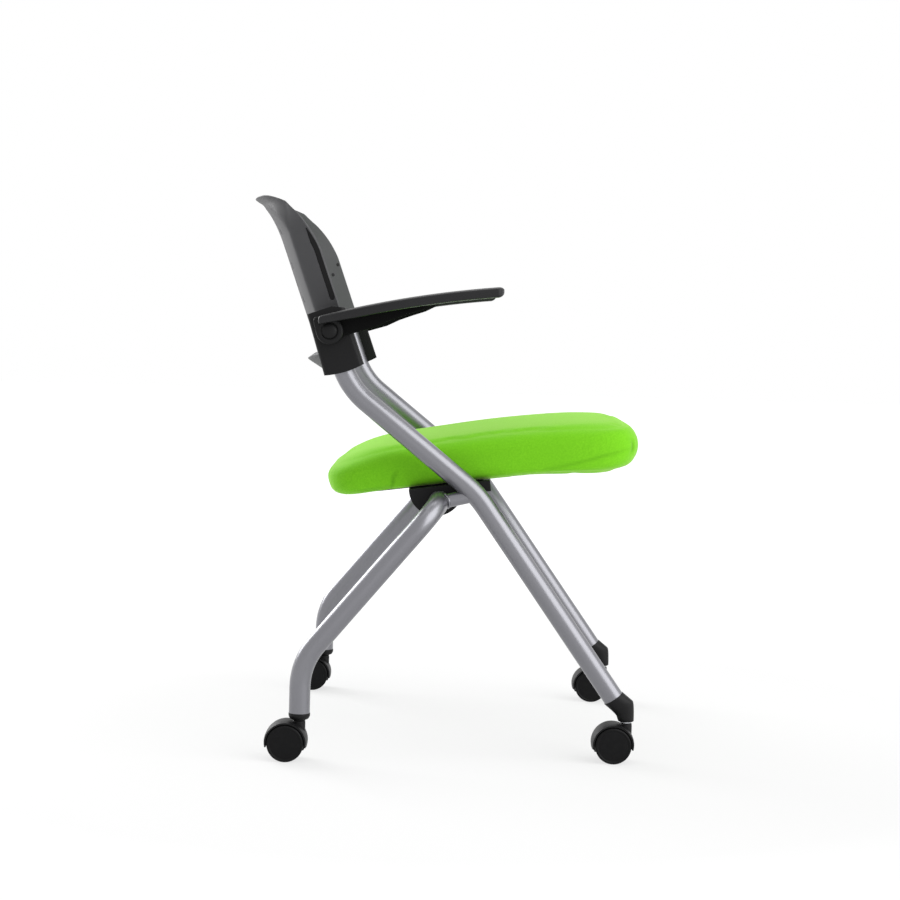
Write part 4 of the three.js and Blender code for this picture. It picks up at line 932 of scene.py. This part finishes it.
# %% Pad
# Sizes in mm: out from the middle of the chair, forward from the arm's rear end, up from the pivot.
pivot = Vector(joints["arm_right_flip"]["pos_m"])
arm_centre = Vector((0, pivot.y, pivot.z))
arm_face = 256.3
arm_rear, arm_front, arm_thick = 15.0, 234.0, 14.5
arm_length = arm_rear + arm_front
arm_rise_rear, arm_rise_tip, arm_slope = 19.8, 65.4, 0.275
arm_narrow, arm_widening = 30, 18
arm_sag = (arm_rise_rear + arm_slope * arm_length - arm_rise_tip) / arm_length**2


def arm_top(t):
    return arm_rise_rear + arm_slope * t - arm_sag * t * t


def arm_section(t):
    """Places out from the bracket and up from the pivot, in mm, at a distance from the rear end."""
    round_end, kept = (3, 0.6) if t < arm_length / 2 else (8, 0.22)
    end = min(t, arm_length - t)
    kept += (1 - kept) * math.sqrt(1 - max(0, 1 - end / round_end) ** 2)
    share = t / arm_length
    width = arm_narrow + arm_widening * soft_step(share / 0.5)
    thick = arm_thick * kept * min(1, 0.8 + share)
    top = arm_top(t) - arm_thick * (1 - kept) / 2.4
    w = width * (1 + kept) / 2
    crown, corner = thick * 0.1, thick * 0.13
    return softened([(0, top - corner), (corner, top - crown / 2), (w / 3, top), (w * 2 / 3, top - crown / 4),
                     (w - corner * 1.4, top - crown), (w, top - crown - corner), (w, top - thick + corner),
                     (w - corner, top - thick), (corner, top - thick), (0, top - thick + corner)], 3)


ends = [0, 0.15, 0.5, 1, 1.8, 2.8, 4, 5.5, 7.2, 9]
stations = ends + list(np.linspace(13, arm_length - 13, 44)) + [arm_length - e for e in reversed(ends)]
rings = [[arm_centre + Vector((-(arm_face + out), arm_rear - t, rise)) * mm for out, rise in arm_section(t)]
         for t in stations]
pad = new_object("arm_right_pad", *skin(rings), arm_skin, 45)
print("pad sections", len(stations))

# %% Lever and hub
# The web's lower edge, as shares of the arm's length ahead of the pivot and of the tip's height.
web_shares = ((0.051, -0.183), (0.088, -0.092), (0.261, 0.098), (0.346, 0.248), (0.434, 0.365), (0.521, 0.471),
              (0.607, 0.627))
lever_thick, heel_thick = 10, 16.5
web_low = [(-f * arm_front, u * arm_rise_tip) for f, u in web_shares]
web_high = [(y, arm_top(arm_rear - y) - arm_thick / 2) for y, _ in reversed(web_low)]
web_outline = [(7.5, 0), *web_low, *web_high, (7.5, arm_top(7.5) - arm_thick / 2)]
# The lever's nylon is darkened as painted shade under the pad.
lever = prism("arm_right_lever", web_outline, y_axis, z_axis, x_axis, lever_thick,
              arm_centre - x_axis * (arm_face + lever_thick / 2) * mm, lever_nylon_painted_shade)
bevel(lever, 1.4 * mm, 3, 30)
heel_outline = [(17.9, -4.7), (21.9, 11.5), (22.0, 14.5), (20.8, 17.0), (18.0, 18.4), (8, 18.4), (0, 8), (4, -8)]
heel = prism("heel", heel_outline, y_axis, z_axis, x_axis, heel_thick,
             arm_centre - x_axis * (arm_face + heel_thick / 2) * mm, black_nylon)
bevel(heel, 1.6 * mm, 3, 30)
hub_profile = [(4.3, 256.4), (17.2, 256.4), (18.2, 257), (18.5, 258.2), (18.5, 270.6), (18.3, 271.8), (17.6, 272.9),
               (16.5, 273.6), (15.2, 273.8), (12.7, 273.8), (12.0, 273.5), (11.6, 272.8), (11.6, 270.4), (4.3, 270.4)]
hub = lathe("hub", hub_profile, arm_centre, -x_axis, black_nylon)
body = joined("arm_right_hub", [heel, hub])
cap_profile = [(4, 226), (4, 270.6), (10.3, 270.6), (10.3, 273.4), (10.1, 274.0), (9.5, 274.6), (8.2, 275.2),
               (6.2, 275.8), (3.8, 276.2), (1.2, 276.4)]
cap = lathe("arm_bolt_right_cap", cap_profile, arm_centre, -x_axis, black_nylon)
for piece, node in ((pad, "arm_right"), (lever, None), (body, None), (cap, "arm_bolt_right")):
    copy = mirrored(piece, piece.name.replace("right", "left"))
    finish_piece(piece, "arm_right", "black_plastic", *([node] if node else []))
    finish_piece(copy, "arm_left", "black_plastic", *([node.replace("right", "left")] if node else []))
print("arm length", round(arm_length), "mm")

# %% [markdown]
# ## Seat brackets
# Under the seat, a nylon bracket on each side turns on the crossbar and drops its front jaw over
# the cross tube. Places here are measured along the seat, which is tilted with its front up.

# %% Seat axes and bracket
# In mm: the cross tube lies ahead of the crossbar and above it, and the seat's underside passes
# over each of them at its own height.
cross_ahead, cross_above = 51.8, 12.5
under, under_at_cross = 20.9, 15.6
seat_tilt = math.atan2(cross_above, cross_ahead) - math.asin((under - under_at_cross)
                                                             / math.hypot(cross_ahead, cross_above))
seat_rear = Vector((0, math.cos(seat_tilt), -math.sin(seat_tilt)))
seat_up = Vector((0, math.sin(seat_tilt), math.cos(seat_tilt)))
saddle = (-cross_ahead * math.cos(seat_tilt) - cross_above * math.sin(seat_tilt),
          -cross_ahead * math.sin(seat_tilt) + cross_above * math.cos(seat_tilt))


def from_seat(x, y, z):
    """A point measured from the crossbar in mm, across, back along the seat and up from it."""
    return crossbar + (x_axis * x + seat_rear * y + seat_up * z) * mm


pan_gap = 0.3
seat_face = under - pan_gap
disc_radius, disc_back, disc_up = 37.5, 2.4, 17.3
jaw_front, jaw_deep, beam_deep, flange_thick = -73, 14.6, 8, 5.4
crossbar_bore, cross_bore = 14.6, 11.3
cut_angle = math.degrees(math.asin((seat_face - disc_up) / disc_radius))
disc = [(disc_back + disc_radius * math.cos(a), disc_up + disc_radius * math.sin(a))
        for a in (math.radians(v) for v in np.linspace(180 - cut_angle, 360 + cut_angle, 61))]
beam = [(0, seat_face), (jaw_front, seat_face), (jaw_front, seat_face - jaw_deep), (saddle[0], seat_face - jaw_deep),
        (saddle[0] + 9, seat_face - beam_deep), (0, seat_face - beam_deep)]
block_wide, block_place = 26, from_seat(-201, 0, 0)
seat_bracket = prism("seat_bracket_right_moulded", disc, seat_rear, seat_up, x_axis, block_wide, block_place,
                     black_nylon)
boolean(seat_bracket, prism("beam", beam, seat_rear, seat_up, x_axis, block_wide, block_place, black_nylon), "UNION")
flange = prism("flange", rounded_box((-190, -64), (-161, 39.9), (1, 12, 12, 1)), x_axis, seat_rear, seat_up,
               flange_thick, from_seat(0, 0, seat_face - flange_thick / 2), black_nylon)
boolean(seat_bracket, flange, "UNION")
for place, radius in ((from_seat(0, 0, 0), crossbar_bore), (from_seat(0, *saddle), cross_bore)):
    boolean(seat_bracket, lathe("tube cutter", [(radius, -240), (radius, -150)], place, x_axis, black_nylon))
bevel(seat_bracket, 1.0 * mm, 3, 30)
twin = mirrored(seat_bracket, "seat_bracket_left_moulded")
finish_piece(seat_bracket, "seat", "black_plastic", "seat_bracket_right")
finish_piece(twin, "seat", "black_plastic", "seat_bracket_left")
frame["nodes"]["seat_pan"].material_slots[0].material = board_cloth
print("seat tilt", round(math.degrees(seat_tilt), 2))

# %% [markdown]
# ## Screws
# Screws repeat, so one is made and the same tree that placed the perforations copies it to each
# place. A screw is a turned pan head with a cross recess, which two short bars cut.

# %% One screw, copied to its places
# The profile is (radius, height) in mm, and Lean turns the head square to its face.
screw = lathe("screw", [(2, -10), (2, 0), (4.6, 0), (4.6, 1.0), (4.3, 1.7), (3.5, 2.3), (2.2, 2.6), (0.4, 2.65)],
              Vector(), z_axis, zinc, 32)
for turned_by in (0, 1):
    arm_of_cross = rounded_box((-2.4, -0.5), (2.4, 0.5), (0.2,) * 4, 2)
    if turned_by:
        arm_of_cross = [(v, u) for u, v in arm_of_cross]
    boolean(screw, prism("recess", arm_of_cross, x_axis, y_axis, z_axis, 3, Vector((0, 0, 2.8 * mm)), zinc))
back_places = [from_upright((side * 214, 19.6, height)) for _, side in sides for height in (48, 89)]
back_screws = grown("back_screws", back_places, [], field_tree, Cutter=screw, Lean=(-math.pi / 2 - lean, 0, 0),
                    Material=zinc)
seat_places = [from_seat(side * 174.5, y, 14.9) for _, side in sides for y in (-29, 26)]
seat_screws = grown("seat_screws", seat_places, [], field_tree, Cutter=screw, Lean=(math.pi - seat_tilt, 0, 0),
                    Material=zinc)
bpy.data.objects.remove(screw)
finish_piece(back_screws, "frame", "zinc_steel", *[f"back_screw_{h}_{l}" for h in ("lower", "upper") for l, _ in sides])
finish_piece(seat_screws, "seat", "zinc_steel", *[f"seat_screw_{e}_{l}" for e in ("front", "rear") for l, _ in sides])
print("screws", len(back_places) + len(seat_places))

# %% [markdown]
# ## Tube ends
# A slanting front leg needs an angled socket, so that its caster stands upright. Its skin runs
# from a tilted ring on the tube to a level ring at the foot, with a corner in front and a
# hollow curve behind. The rear legs end upright, in a turned cup that rises round the tube's end,
# with a small collar under it.

# %% Front sockets
stem_y = {end: joints[f"{end}_caster_right_swivel"]["pos_m"][1] for end in ("front", "rear")}
stem_x = {"front": main_x, "rear": rear_x}
mount = 56.5  # mm from the floor to the foot of a leg, just over the ring of the stem
socket_top, socket_foot, rim_round, rim_middle = 15, 11, 1.6, 0.5


def toward_stem(foot, foot_y):
    """Direction from a point on the foot's rim to the stem's axis, level."""
    return Vector((-foot.x, foot_y - foot.y, 0)).normalized()


def socket_rings(side):
    """Rings down the socket. Each of 64 lines runs straight, bends and runs straight again."""
    leg_normal = leg_down.cross(x_axis).normalized()
    facing = 1 if leg_normal.y > 0 else -1
    foot_y = stem_y["front"]
    paths = []
    for k in range(64):
        a = 2 * math.pi * k / 64
        sideways, fore = math.cos(a), math.sin(a)
        top = leg_end + (x_axis * sideways + leg_normal * fore) * socket_top * mm
        foot = Vector((sideways * socket_foot * mm, foot_y + socket_foot * facing * fore * mm, mount * mm))
        # In front the bend is high and sharp, and behind it is low and long.
        front_share = soft_step(0.5 - 0.5 * (foot.y - foot_y) / (socket_foot * mm))
        bend = Vector((foot.x * 1.04, foot.y + (1 - front_share) * 2.6 * mm, (66 + 17.5 * front_share) * mm))
        straight = 0.25 + 0.6 * front_share
        start, finish_point = top.lerp(bend, straight), bend.lerp(foot, straight)
        way = [top, top.lerp(bend, straight / 2), start]
        for t in np.linspace(0.1, 0.9, 9):
            way.append(start.lerp(bend, t).lerp(bend.lerp(finish_point, t), t))
        inward = toward_stem(foot, foot_y)
        way += [finish_point, foot + z_axis * rim_round * mm,
                foot + z_axis * rim_middle * mm + (inward * rim_middle * mm), foot + inward * rim_round * mm]
        paths.append([p + x_axis * side * main_x for p in way])
    return [[path[i] for path in paths] for i in range(len(paths[0]))]


for label, side in sides:
    socket = new_object(f"front_socket_{label}_moulded", *skin(socket_rings(side)), black_nylon, 38)
    finish_piece(socket, "frame", "black_plastic", f"front_socket_{label}")
print("front sockets", len(sides))

# %% Rear ferrules
# (radius, height over the foot) in mm: the collar, the cup round the tube and the plug inside it.
ferrule_profile = [(5.7, -1.7), (8.6, -1.7), (8.8, -1.5), (8.8, -0.5),
                   (10.6, -0.4), (11.8, -0.1), (13.0, 0.9), (14.0, 2.8), (14.6, 4.3), (14.7, 5.0),
                   (14.7, 7.9), (14.5, 8.2), (14.0, 8.3), (12, 8.3), (12, 30)]
for label, side in sides:
    centre = Vector((side * rear_x, stem_y["rear"], mount * mm))
    ferrule = lathe(f"rear_ferrule_{label}_moulded", ferrule_profile, centre, z_axis, black_nylon)
    finish_piece(ferrule, "frame", "black_plastic", f"rear_ferrule_{label}")
print("rear ferrules", len(sides))

# %% [markdown]
# ## Casters
# A twin-wheel caster is a nylon hood on a steel stem, with a wheel at each side of its web. The
# hood arches over both wheels, thickest in the middle and thin at its side rims. All four are
# alike, so one set is made about its stem and copied.

# %% Hood
# Sizes in mm. The stem stands at Y 0 and the axle trails behind it.
trail, axle_height, hood_inner, hood_outer, hood_half = 17.5, 25.0, 26.2, 29.6, 20.5
hood_start, hood_end, tip_span = -11, 191, 20  # degrees round the axle
hood_droop, tip_thinning, thinnest = 1.3, 0.1, 0.5
web_radius, web_start, web_end, web_thick = 27, -26, 206, 6
axle_point = Vector((0, trail, axle_height)) * mm


def hood_rings():
    """Sections round the arch: the inside is level across, and the outside is crowned."""
    rings = []
    for angle in np.linspace(hood_start, hood_end, 83):
        a = math.radians(angle)
        outward = Vector((0, math.cos(a), math.sin(a)))
        tip = min(angle - hood_start, hood_end - angle)
        thin_share = 1 - tip_thinning + tip_thinning * soft_step(tip / tip_span)
        inside = [(x, hood_inner) for x in np.linspace(-hood_half + 0.3, hood_half - 0.3, 9)]
        outside = []
        for x in np.linspace(hood_half, -hood_half, 21):
            crowned = (hood_outer - hood_inner - hood_droop * (abs(x) / hood_half) ** 3) * thin_share
            outside.append((x, hood_inner + max(thinnest, crowned)))
        rings.append([axle_point + (x_axis * x + outward * r) * mm for x, r in inside + outside])
    return rings


def caster_hood(name):
    arch = new_object("arch", *skin(hood_rings()), black_nylon, 40)
    sector = [(trail + web_radius * math.cos(a), axle_height + web_radius * math.sin(a))
              for a in (math.radians(v) for v in np.linspace(web_start, web_end, 60))]
    web = prism("web", sector, y_axis, z_axis, x_axis, web_thick, Vector(), black_nylon)
    neck_profile = [(8.5, 33), (8.5, 52.6), (8.3, 53.5), (7.7, 54.2), (6.8, 54.6), (5.8, 54.6)]
    post = lathe("post", neck_profile, Vector(), z_axis, black_nylon, 48)
    shoulder = prism("shoulder", rounded_box((-8.5, -8.5), (8.5, 8), (7, 7, 2, 2)), x_axis, y_axis, z_axis, 14,
                     Vector((0, 0, 44 * mm)), black_nylon)
    wheel_space = [(hood_inner, 3), (hood_inner, 24)]
    for end in (-1, 1):
        for block in (post, shoulder):
            boolean(block, lathe("wheel space", wheel_space, axle_point, x_axis * end, black_nylon))
    for block in (web, shoulder):
        bevel(block, 0.6 * mm, 2, 40)
    return joined(name, [arch, web, post, shoulder])


print("hood spans", hood_end - hood_start, "degrees")

# %% Wheels and stems
# Profiles are (radius, reach) in mm, out from the web for a wheel and up for a stem.
def caster_wheel(name, end):
    profile = [(3.3, 3.3), (21.5, 3.3), (24.3, 4.0), (25, 6), (25, 20), (24.8, 21.1), (24.2, 22.0), (23.3, 22.6),
               (22.4, 22.75), (21.7, 22.6), (21.2, 22.1), (20.6, 21.9), (19.8, 22.05), (12, 22.4), (1, 22.55)]
    return lathe(name, profile, axle_point, x_axis * end, wheel_nylon, 96, 40)


def caster_stem(name):
    profile = [(5.5, 48.6), (5.5, 54.8), (7.4, 54.8), (7.6, 55.0), (7.6, 56.1), (7.4, 56.35), (5.5, 56.35), (5.5, 78.5)]
    return lathe(name, profile, Vector(), z_axis, zinc, 48)


def placed(piece, place):
    piece.data.transform(Matrix.Translation(place))
    return piece


model_hood = caster_hood("model_hood")
for end in ("front", "rear"):
    for label, side in sides:
        name = f"{end}_caster_{label}"
        place = Vector((side * stem_x[end], stem_y[end], 0))
        hood = bpy.data.objects.new(f"{name}_hood_moulded", model_hood.data.copy())
        bpy.context.scene.collection.objects.link(hood)
        finish_piece(placed(hood, place), name, "black_plastic", f"{name}_hood")
        stem = placed(caster_stem(f"{name}_stem_turned"), place)
        finish_piece(stem, "frame", "zinc_steel", f"{name}_stem")
        frame["nodes"][f"{name}_axle"].material_slots[0].material = zinc
        for wheel_label, wheel_side in sides:
            node = f"{name}_wheel_{wheel_label}"
            wheel = placed(caster_wheel(f"{node}_moulded", wheel_side), place)
            finish_piece(wheel, node, "wheel_plastic", node)
bpy.data.objects.remove(model_hood)
print("casters at", [round(stem_y[e] / mm, 1) for e in stem_y])

# %% [markdown]
# ## Seat cushion
# The seat is moulded foam under stretched woven cloth, pulled round a board. Its side outline
# is a closed curve, and each half narrows towards the sides. The form is lofted at full size and
# shrunk a little, and a cloth simulation with air pressure swells the cover out again. The foam
# then holds the cover close to the full form, as it does in a real seat.

# %% Outline and loft
# The side outline, as shares of the length from the rear and of the thickness from the underside.
cushion_shares = np.array([
    (0.067, -0.067), (0.207, -0.059), (0.536, -0.04), (0.71, -0.064), (0.889, -0.14), (0.935, -0.097),
    (0.968, 0.087), (0.981, 0.354), (0.973, 0.592), (0.95, 0.756), (0.879, 0.854), (0.774, 0.93), (0.561, 0.97),
    (0.35, 0.933), (0.19, 0.877), (0.092, 0.72), (0.022, 0.493), (0.016, 0.232), (0.031, 0.015)])
cushion_front, cushion_rear, cushion_thick, cushion_half = 299.4, 163.5, 68.4, 218.0
# Towards the sides the form closes on one level, and its powers say how square its shoulders are.
level_share, height_power, length_power = 0.34, 6, 7
rear_narrowing, waist = 0.1, 0.014
cushion_length = cushion_front + cushion_rear


def closed_curve(points, steps=24):
    """A smooth closed curve through the points (centripetal Catmull-Rom)."""
    dense, count = [], len(points)
    for i in range(count):
        p0, p1, p2, p3 = (points[(i + k - 1) % count] for k in range(4))
        a, b, c = (np.linalg.norm(q - p) ** 0.5 for p, q in ((p0, p1), (p1, p2), (p2, p3)))
        m1 = ((p1 - p0) / a - (p2 - p0) / (a + b) + (p2 - p1) / b) * b
        m2 = ((p2 - p1) / b - (p3 - p1) / (b + c) + (p3 - p2) / c) * b
        for t in np.arange(0, 1, 1 / steps):
            dense.append((2 * (p1 - p2) + m1 + m2) * t**3 + (3 * (p2 - p1) - 2 * m1 - m2) * t**2 + m1 * t + p1)
    return np.array(dense)


def evenly(points, count):
    """Points at equal distances along a closed line."""
    closed = np.vstack([points, points[:1]])
    far = np.concatenate([[0], np.cumsum(np.linalg.norm(np.diff(closed, axis=0), axis=1))])
    places = np.linspace(0, far[-1], count, endpoint=False)
    return np.stack([np.interp(places, far, closed[:, k]) for k in (0, 1)], axis=1)


curve = closed_curve(cushion_shares)
side_line = evenly(curve * (cushion_length, cushion_thick), 180) / (cushion_length, cushion_thick)
half = [*np.linspace(0, 0.88, 23), 0.905, 0.928, 0.948, 0.964, 0.976, 0.985, 0.991, 0.9955, 0.9985]
cushion_rings = []
for station in [-s for s in reversed(half[1:])] + half:
    e = abs(station)
    height_kept = (1 - e**height_power) ** (1 / height_power)
    length_kept = (1 - e**length_power) ** (1 / length_power)
    loop = []
    for share_along, share_up in side_line:
        t = (1 + (2 * share_along - 1) * length_kept) / 2
        rise = level_share + (share_up - level_share) * height_kept
        taper = 1 - rear_narrowing * (1 - t) ** 2 - waist * math.sin(math.pi * t)
        loop.append(from_seat(station * cushion_half * taper, cushion_rear - t * cushion_length,
                              under + rise * cushion_thick))
    cushion_rings.append(loop)
cushion = new_object("seat_cushion_upholstered", *skin(cushion_rings), lime_weave, 180)
print("cushion rings", len(cushion_rings))

# %% [markdown]
# ### An even mesh
# A simulation needs faces of one size, which a loft doesn't give. A voxel remesh rebuilds the
# surface with even faces, and its points then move in a little, so that the air has room to push.

# %% Even mesh, and a little smaller
def points_of(piece):
    coordinates = np.empty(len(piece.data.vertices) * 3)
    piece.data.vertices.foreach_get("co", coordinates)
    return coordinates.reshape(-1, 3)


def normals_of(piece):
    directions = np.empty(len(piece.data.vertices) * 3, dtype=np.float32)
    piece.data.vertex_normals.foreach_get("vector", directions)
    return directions.reshape(-1, 3).astype(float)


def set_points(piece, coordinates):
    piece.data.vertices.foreach_set("co", np.ascontiguousarray(coordinates, dtype=np.float32).ravel())
    piece.data.update()


voxel, shrink = 5 * mm, 2.2 * mm
remesh = cushion.modifiers.new("even faces", "REMESH")
remesh.mode, remesh.voxel_size = "VOXEL", voxel
apply_modifiers(cushion)
full_form = points_of(cushion)
outward = normals_of(cushion)
set_points(cushion, full_form - outward * shrink)
print("cushion points", len(full_form))

# %% [markdown]
# ### Cover under pressure
# Cloth that is stretched over foam is never quite even. Blender's cloth simulation with air
# pressure gives it shallow swells. It runs without gravity, because the foam carries the cloth.

# %% Cloth under pressure
def swollen(piece, pressure, frames, limit):
    """Lets air pressure push the cover out and stops each point at a limit. Gives the new places,
    and how far each point would have gone."""
    start = points_of(piece)
    cloth = piece.modifiers.new("cover", "CLOTH")
    cloth.settings.quality = 5
    cloth.settings.mass = 0.3
    cloth.settings.tension_stiffness = cloth.settings.compression_stiffness = 15
    cloth.settings.use_pressure = True
    cloth.settings.uniform_pressure_force = pressure
    cloth.settings.effector_weights.gravity = 0
    cloth.collision_settings.use_collision = False
    for number in range(1, frames + 1):
        bpy.context.scene.frame_set(number)
    graph = bpy.context.evaluated_depsgraph_get()
    mesh = piece.evaluated_get(graph).to_mesh()
    coordinates = np.empty(len(mesh.vertices) * 3)
    mesh.vertices.foreach_get("co", coordinates)
    piece.evaluated_get(graph).to_mesh_clear()
    piece.modifiers.clear()
    bpy.context.scene.frame_set(1)
    move = coordinates.reshape(-1, 3) - start
    far = np.linalg.norm(move, axis=1, keepdims=True)
    return start + move * np.minimum(1, limit / np.maximum(far, 1e-9)), far


foam_gives, foam_swells = 1.2 * mm, 2 * mm
pushed, far = swollen(cushion, pressure=4, frames=20, limit=5 * mm)
print("cover moved", round(float(far.mean()) / mm, 2), "mm on average,", round(float(far.max()) / mm, 2), "at most")
# The foam stops the cover, which can sink and stand off only by these amounts.
height_now = np.sum((pushed - full_form) * outward, axis=1, keepdims=True)
pushed += outward * (np.clip(height_now, -foam_gives, foam_swells) - height_now)
set_points(cushion, pushed)
subdivision = cushion.modifiers.new("finer", "SUBSURF")
subdivision.levels = subdivision.render_levels = 1
apply_modifiers(cushion)

# %% [markdown]
# ### Recess and pocket
# The board sits in a recess of the underside, and the brackets reach into a pocket under it. Both
# are cut after the simulation, so that their edges stay straight.

# %% Recess for the board and pocket for the brackets
pan_low, pan_high, pan_deep = (-186.3, -247.7), (186.3, 129.8), 6.3
pocket_low, pocket_high, cutter_deep = (-216, -75), (216, 41.9), 60
recess = prism("recess", rounded_box(pan_low, pan_high, (60,) * 4, 16), x_axis, seat_rear, seat_up, cutter_deep,
               from_seat(0, 0, under + pan_deep - cutter_deep / 2), lime_weave)
boolean(cushion, recess)
pocket = prism("pocket", rounded_box(pocket_low, pocket_high, (3,) * 4, 4), x_axis, seat_rear, seat_up, cutter_deep,
               from_seat(0, 0, under - cutter_deep / 2), lime_weave)
boolean(cushion, pocket)
print("cushion faces before the creases", len(cushion.data.polygons))

# %% [markdown]
# ### Creases
# The cover is gathered at its front corners, where a short pleat ends a crease that runs back
# along the side. Near the rear bracket a slanting wrinkle pulls the cloth. They are narrow
# grooves, so each point near a line is pushed in, by less the further it lies from the line.

# %% Creases
side_from, edge_x, crease_end = 150 * mm, 215, 0.04
# Each crease: its places as (back, up) in seat axes, its width and its depth, all in mm.
crease_shapes = (
    (((-276, 52), (-277, 46), (-276, 40), (-272, 35)), 2.2, 1.3),  # pleat at the front corner
    (((-272, 42), (-235, 37), (-195, 31), (-150, 27)), 2.2, 0.9),  # from the pleat back along the side
    (((54, 46), (60, 38), (62, 28), (66, 22)), 2.8, 1.0),  # wrinkle by the rear bracket
    (((62, 26), (90, 24), (125, 22)), 3.0, 0.8))  # its tail


def press(piece, lines):
    """Pushes points in along lines given as (places, width, depth), and stores how much in mm.
    Distances are taken in side view, so a line lies on the surface wherever that is."""
    where, inward = points_of(piece), -normals_of(piece)
    amount = np.zeros(len(where))
    for places, width, depth in lines:
        spots_on_line = np.array([tuple(p) for p in places])
        same_side = where[:, 0] * np.sign(spots_on_line[0, 0]) > side_from
        seen = where[:, 1:]
        count = len(spots_on_line) - 1
        nearest = np.full(len(where), 1e9)
        share = np.zeros(len(where))
        for i, (a, b) in enumerate(zip(spots_on_line[:, 1:], spots_on_line[1:, 1:])):
            way = b - a
            t = np.clip(((seen - a) @ way) / (way @ way), 0, 1)
            away = np.linalg.norm(seen - a - t[:, None] * way, axis=1)
            closer = away < nearest
            nearest[closer] = away[closer]
            share[closer] = (i + t[closer]) / count
        fading = np.sin(np.pi * np.clip(share, crease_end, 1 - crease_end)) ** 0.5
        amount += same_side * depth * mm * fading * np.exp(-((nearest / (width * mm)) ** 2))
    set_points(piece, where + inward * amount[:, None])
    # The cloth's material reads this depth to paint shade into the creases.
    stored = piece.data.attributes.new("crease", "FLOAT", "POINT")
    stored.data.foreach_set("value", (amount / mm).astype(np.float32))


crease_lines = [([from_seat(side * edge_x, back, up) for back, up in places], width, depth)
                for _, side in sides for places, width, depth in crease_shapes]
press(cushion, crease_lines)
cushion.data.shade_smooth()
finish_piece(cushion, "seat", "green_fabric", "seat_cushion")
print("cushion faces", len(cushion.data.polygons))
